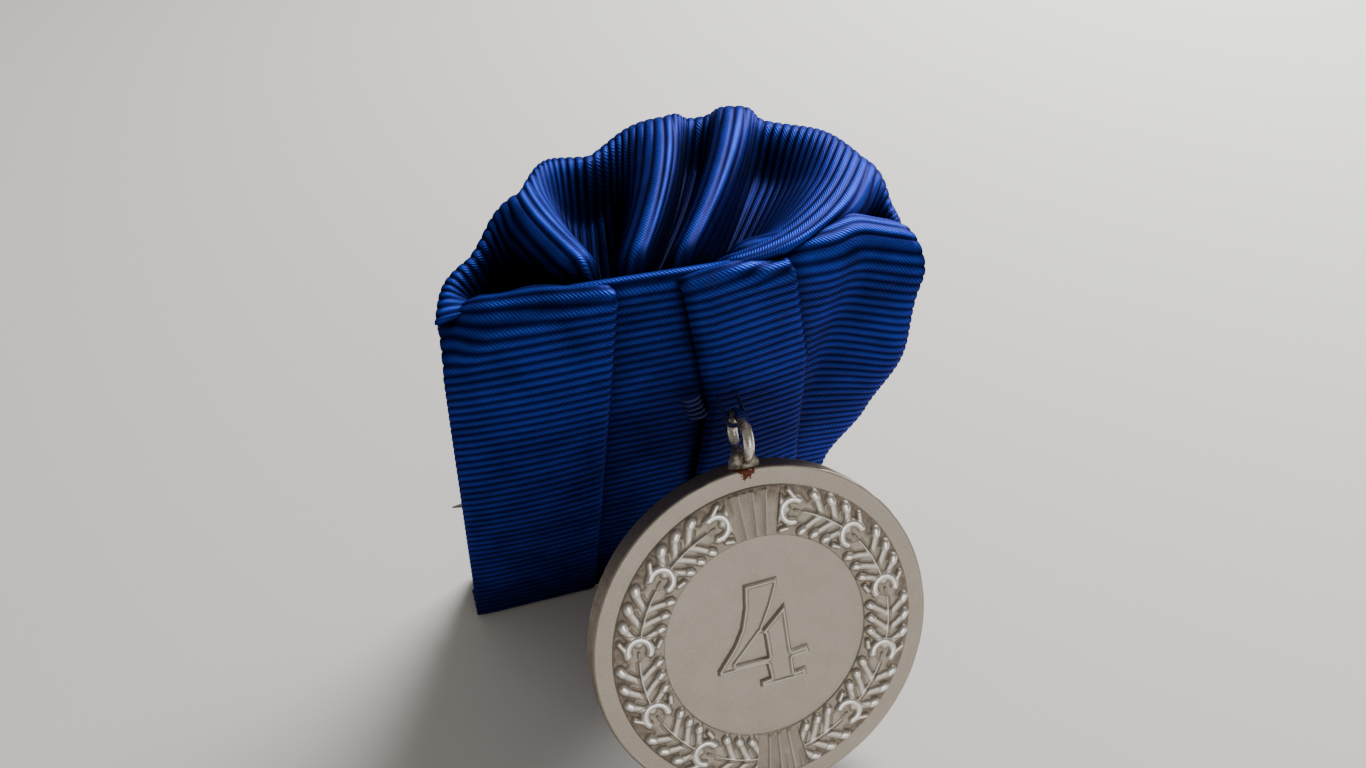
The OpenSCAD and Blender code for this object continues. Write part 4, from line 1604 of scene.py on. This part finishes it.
@dataclass
class Medal:
    """The medal: struck disc, steel loop and the solder between them.

    Attributes:
        frame: The medal's frame.
        disc_r: Radius of the disc.
        loop_z: Height of the loop's middle over the disc's.
        loop_r: Middle radius of the loop.
        wire_r: Radius of its wire.
    """

    frame: Lean
    disc_r: float = 15.0
    loop_z: float = 17.45
    loop_r: float = 1.9
    wire_r: float = 0.5

    def loop(self) -> bpy.types.Object:
        """The loop, a ring of round wire that stands edge-on to the face."""
        around, sides = 96, 24
        a = np.arange(around)[:, None] * 2 * math.pi / around
        b = np.arange(sides)[None, :] * 2 * math.pi / sides
        wear = 1 - 0.05 * np.cos(a) ** 8
        r = self.loop_r + self.wire_r * np.cos(b) * wear
        x = self.wire_r * 0.96 * np.sin(b) + 0 * a
        points = np.stack((x, r * np.sin(a), self.loop_z + r * np.cos(a)), axis=-1).reshape(-1, 3)
        return make_mesh("medal_loop", self.frame.place(points), ring_faces(around, sides, wrap=True))

    def solder(self) -> bpy.types.Object:
        """The lumpy fillet of solder at the loop's foot."""
        around, up = 48, 16
        rows = []
        for i in range(up):
            t = i / (up - 1)
            z = self.disc_r - 0.35 + 1.75 * t
            r = 1.42 - 0.62 * t ** 0.6 - 0.5 * max(t - 0.8, 0) / 0.2
            for k in range(around):
                a = k * 2 * math.pi / around
                lump = noise.noise(Vector((math.cos(a) * 1.7, math.sin(a) * 1.7, z * 1.9))) * 0.16
                lump += noise.noise(Vector((math.cos(a) * 5, math.sin(a) * 5, z * 6))) * 0.05
                rows.append(((r * 1.1 + lump) * math.cos(a), (r * 0.82 + lump) * math.sin(a), z))
        points = np.array(rows + [(0, 0, self.disc_r - 0.35), (0, 0, self.disc_r + 1.42)])
        faces = ring_faces(up, around) + closing_faces(up, around)
        return make_mesh("medal_solder_foot", self.frame.place(points), faces)

    def build(self) -> None:
        """Makes and dresses the medal's pieces."""
        disc, wreath = StruckDisc(self.frame).build()
        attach(wreath, "medal")
        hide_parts("medal_disc")
        log.info("%s: %d faces", wreath.name, len(wreath.data.polygons))
        loop, foot = self.loop(), self.solder()
        LOOP_STEEL.put_on(loop)
        SOLDER.put_on(foot)
        shown = ((disc, "medal_disc", "medal_silver"), (loop, "suspension_loop", "medal_silver"),
                 (foot, "loop_solder", "solder"))
        for piece, node, slot in shown:
            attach(piece, "medal")
            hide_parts(node)
            log.info("%s: %d faces", piece.name, len(piece.data.polygons))


# ---------------------------------------------------------------- sewing


@dataclass
class Sewing:
    """The thread that the medal hangs from and the stitches that hold the mount together.

    Attributes:
        mount: The mount's frame.
        sling_frame: The hanging thread's frame.
        reach: How far the hanging thread goes back into the ribbon.
        half: Half its width where it does.
        ply_offset: Distance of a ply from its thread's middle.
        ply_r: Radius of a ply.
        lining_face: Depth of the stitches on the lining.
        pitch: Spacing of those stitches.
        length: Their length.
        thread_r: Radius of their thread.
    """

    mount: Lean
    sling_frame: Lean
    reach: float = 2.62
    half: float = 0.85
    ply_offset: float = 0.05
    ply_r: float = 0.085
    lining_face: float = 5.72
    pitch: float = 2.4
    length: float = 1.9
    thread_r: float = 0.16

    def sling(self) -> bpy.types.Object:
        """Three turns of doubled thread through the loop and back into the ribbon."""
        parts = []
        for dx, dy, dz in ((0.0, 0.0, 0.04), (0.06, 0.08, -0.1), (-0.05, -0.04, -0.14), (0.03, 0.04, -0.24)):
            h = self.half + dx
            path = bezier([(-h, self.reach, dz * 0.6), (-h, 1.2, dz), (-h + 0.02, 0.35 + dy, dz),
                           (-h + 0.3, dy - 0.02, dz), (0, dy - 0.06, dz), (h - 0.3, dy - 0.02, dz),
                           (h - 0.02, 0.35 + dy, dz), (h, 1.2, dz), (h, self.reach, dz * 0.6)], 8)
            twist = np.arange(len(path)) * 0.9
            for phase in (0, math.pi):
                wound = np.stack((0 * twist, np.cos(twist + phase), np.sin(twist + phase)), axis=1)
                parts.append(tube(path + self.ply_offset * wound, self.ply_r, 10))
        points, faces = merged(parts)
        return make_mesh("hanging_thread_strands", self.sling_frame.place(points), faces)

    @staticmethod
    def stitch(name: str, length: float, radius: float, arch: float) -> bpy.types.Object:
        """One stitch along X: a short arched thread whose ends go down into the cloth."""
        t = np.linspace(-1, 1, 9)
        path = np.stack((t * length / 2, arch * t ** 4 - arch * 0.25, 0 * t), axis=1)
        points, faces = tube(path, radius, 8)
        return make_mesh(name, points, faces)

    def row(self, name: str, count: int, start: Sequence[float], step: Sequence[float],
            length: float, radius: float, tilt: float, front: bool, finish: Finish,
            jitter: float = 0.06) -> bpy.types.Object:
        """A row of stitches on the mount's front or back.

        Args:
            name: The row's name.
            count: Number of stitches.
            start: Place of the first in the mount's frame.
            step: Move from one to the next.
            length: Length of a stitch.
            radius: Radius of its thread.
            tilt: Tilt of a stitch from level, in degrees.
            front: Whether it lies on the front.
            finish: Its finish.
            jitter: Most that a stitch is turned at random, in radians.

        Returns:
            The row as a plain mesh in the row frame.
        """
        one = self.stitch(name + "_one", length, radius, 0.3 if front else -0.3)
        row = scatter(name, one, count, finish, start, step, (0, math.radians(tilt), 0), jitter=jitter,
                      seed=len(name))
        row.data.transform(self.mount.matrix())
        return row

    def build(self) -> None:
        """Makes and dresses the sewing."""
        sling = self.sling()
        DARK_THREAD.put_on(sling)
        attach(sling, "thread_sling")
        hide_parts("hanging_thread")
        rows = [self.row(f"lining_stitches_{side}", 11, (x, self.lining_face, 9.5), (0, 0, self.pitch),
                         self.length, self.thread_r, tilt, False, THREAD)
                for side, x, tilt in (("left", -16.6, -25), ("right", 16.6, 25))]
        rows.append(self.row("lining_stitches_top", 14, (-15.0, self.lining_face, 36.0), (self.pitch, 0, 0),
                             self.length, self.thread_r, 65, False, THREAD))
        lining = joined("lining_overcast_stitches", rows)
        tack = self.row("strip_bar_tack", 5, (1.9, -0.1, 30.05), (-0.25, 0, 0.7), 1.5, 0.13, -12, True,
                        DARK_THREAD)
        gather = self.row("gathering_stitches", 3, (-6.2, 0, 0), (2.6, 0, 0), 2.2, self.thread_r, 0, True,
                          DARK_THREAD, 0.25)
        gather.data.transform(self.mount.matrix().inverted())
        gather.data.transform(Matrix.Translation(Vector((0, -12.0, 44.95)) * MM))
        for piece, node in ((lining, "lining_stitches"), (tack, "bar_tack"), (gather, "gather_stitches")):
            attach(piece, "mount")
            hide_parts(node)
            log.info("%s made", piece.name)


# ---------------------------------------------------------------- the brooch


class BroochPart(Enum):
    """The brooch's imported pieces, whose shapes are kept."""

    BAR = "brooch_bar"
    RIVETS = "brooch_rivets"
    LUGS = "hinge_lugs"
    HINGE = "hinge_rivet"
    CATCH = "pin_catch"
    PIN = "pin_wire"


@dataclass
class Brooch:
    """The pin on the back."""

    nodes: dict[str, bpy.types.Object]

    def build(self) -> None:
        """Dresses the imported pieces."""
        for part in BroochPart:
            finish = PIN_STEEL if part in (BroochPart.PIN, BroochPart.HINGE) else BROOCH_STEEL
            finish.put_on(self.nodes[part.value])
            log.info("%s dressed", part.value)


def main() -> None:
    """Builds the object in order."""
    logging.basicConfig(level=logging.INFO, format="%(name)s: %(message)s")
    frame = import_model()
    Studio().build()
    places = Places.read(frame)
    mount = places.mount()
    Ribbon(mount).build()
    MountCore(mount).build()
    Sewing(mount, places.sling()).build()
    Medal(places.medal()).build()
    Brooch(frame["nodes"]).build()


if __name__ == "__main__":
    main()
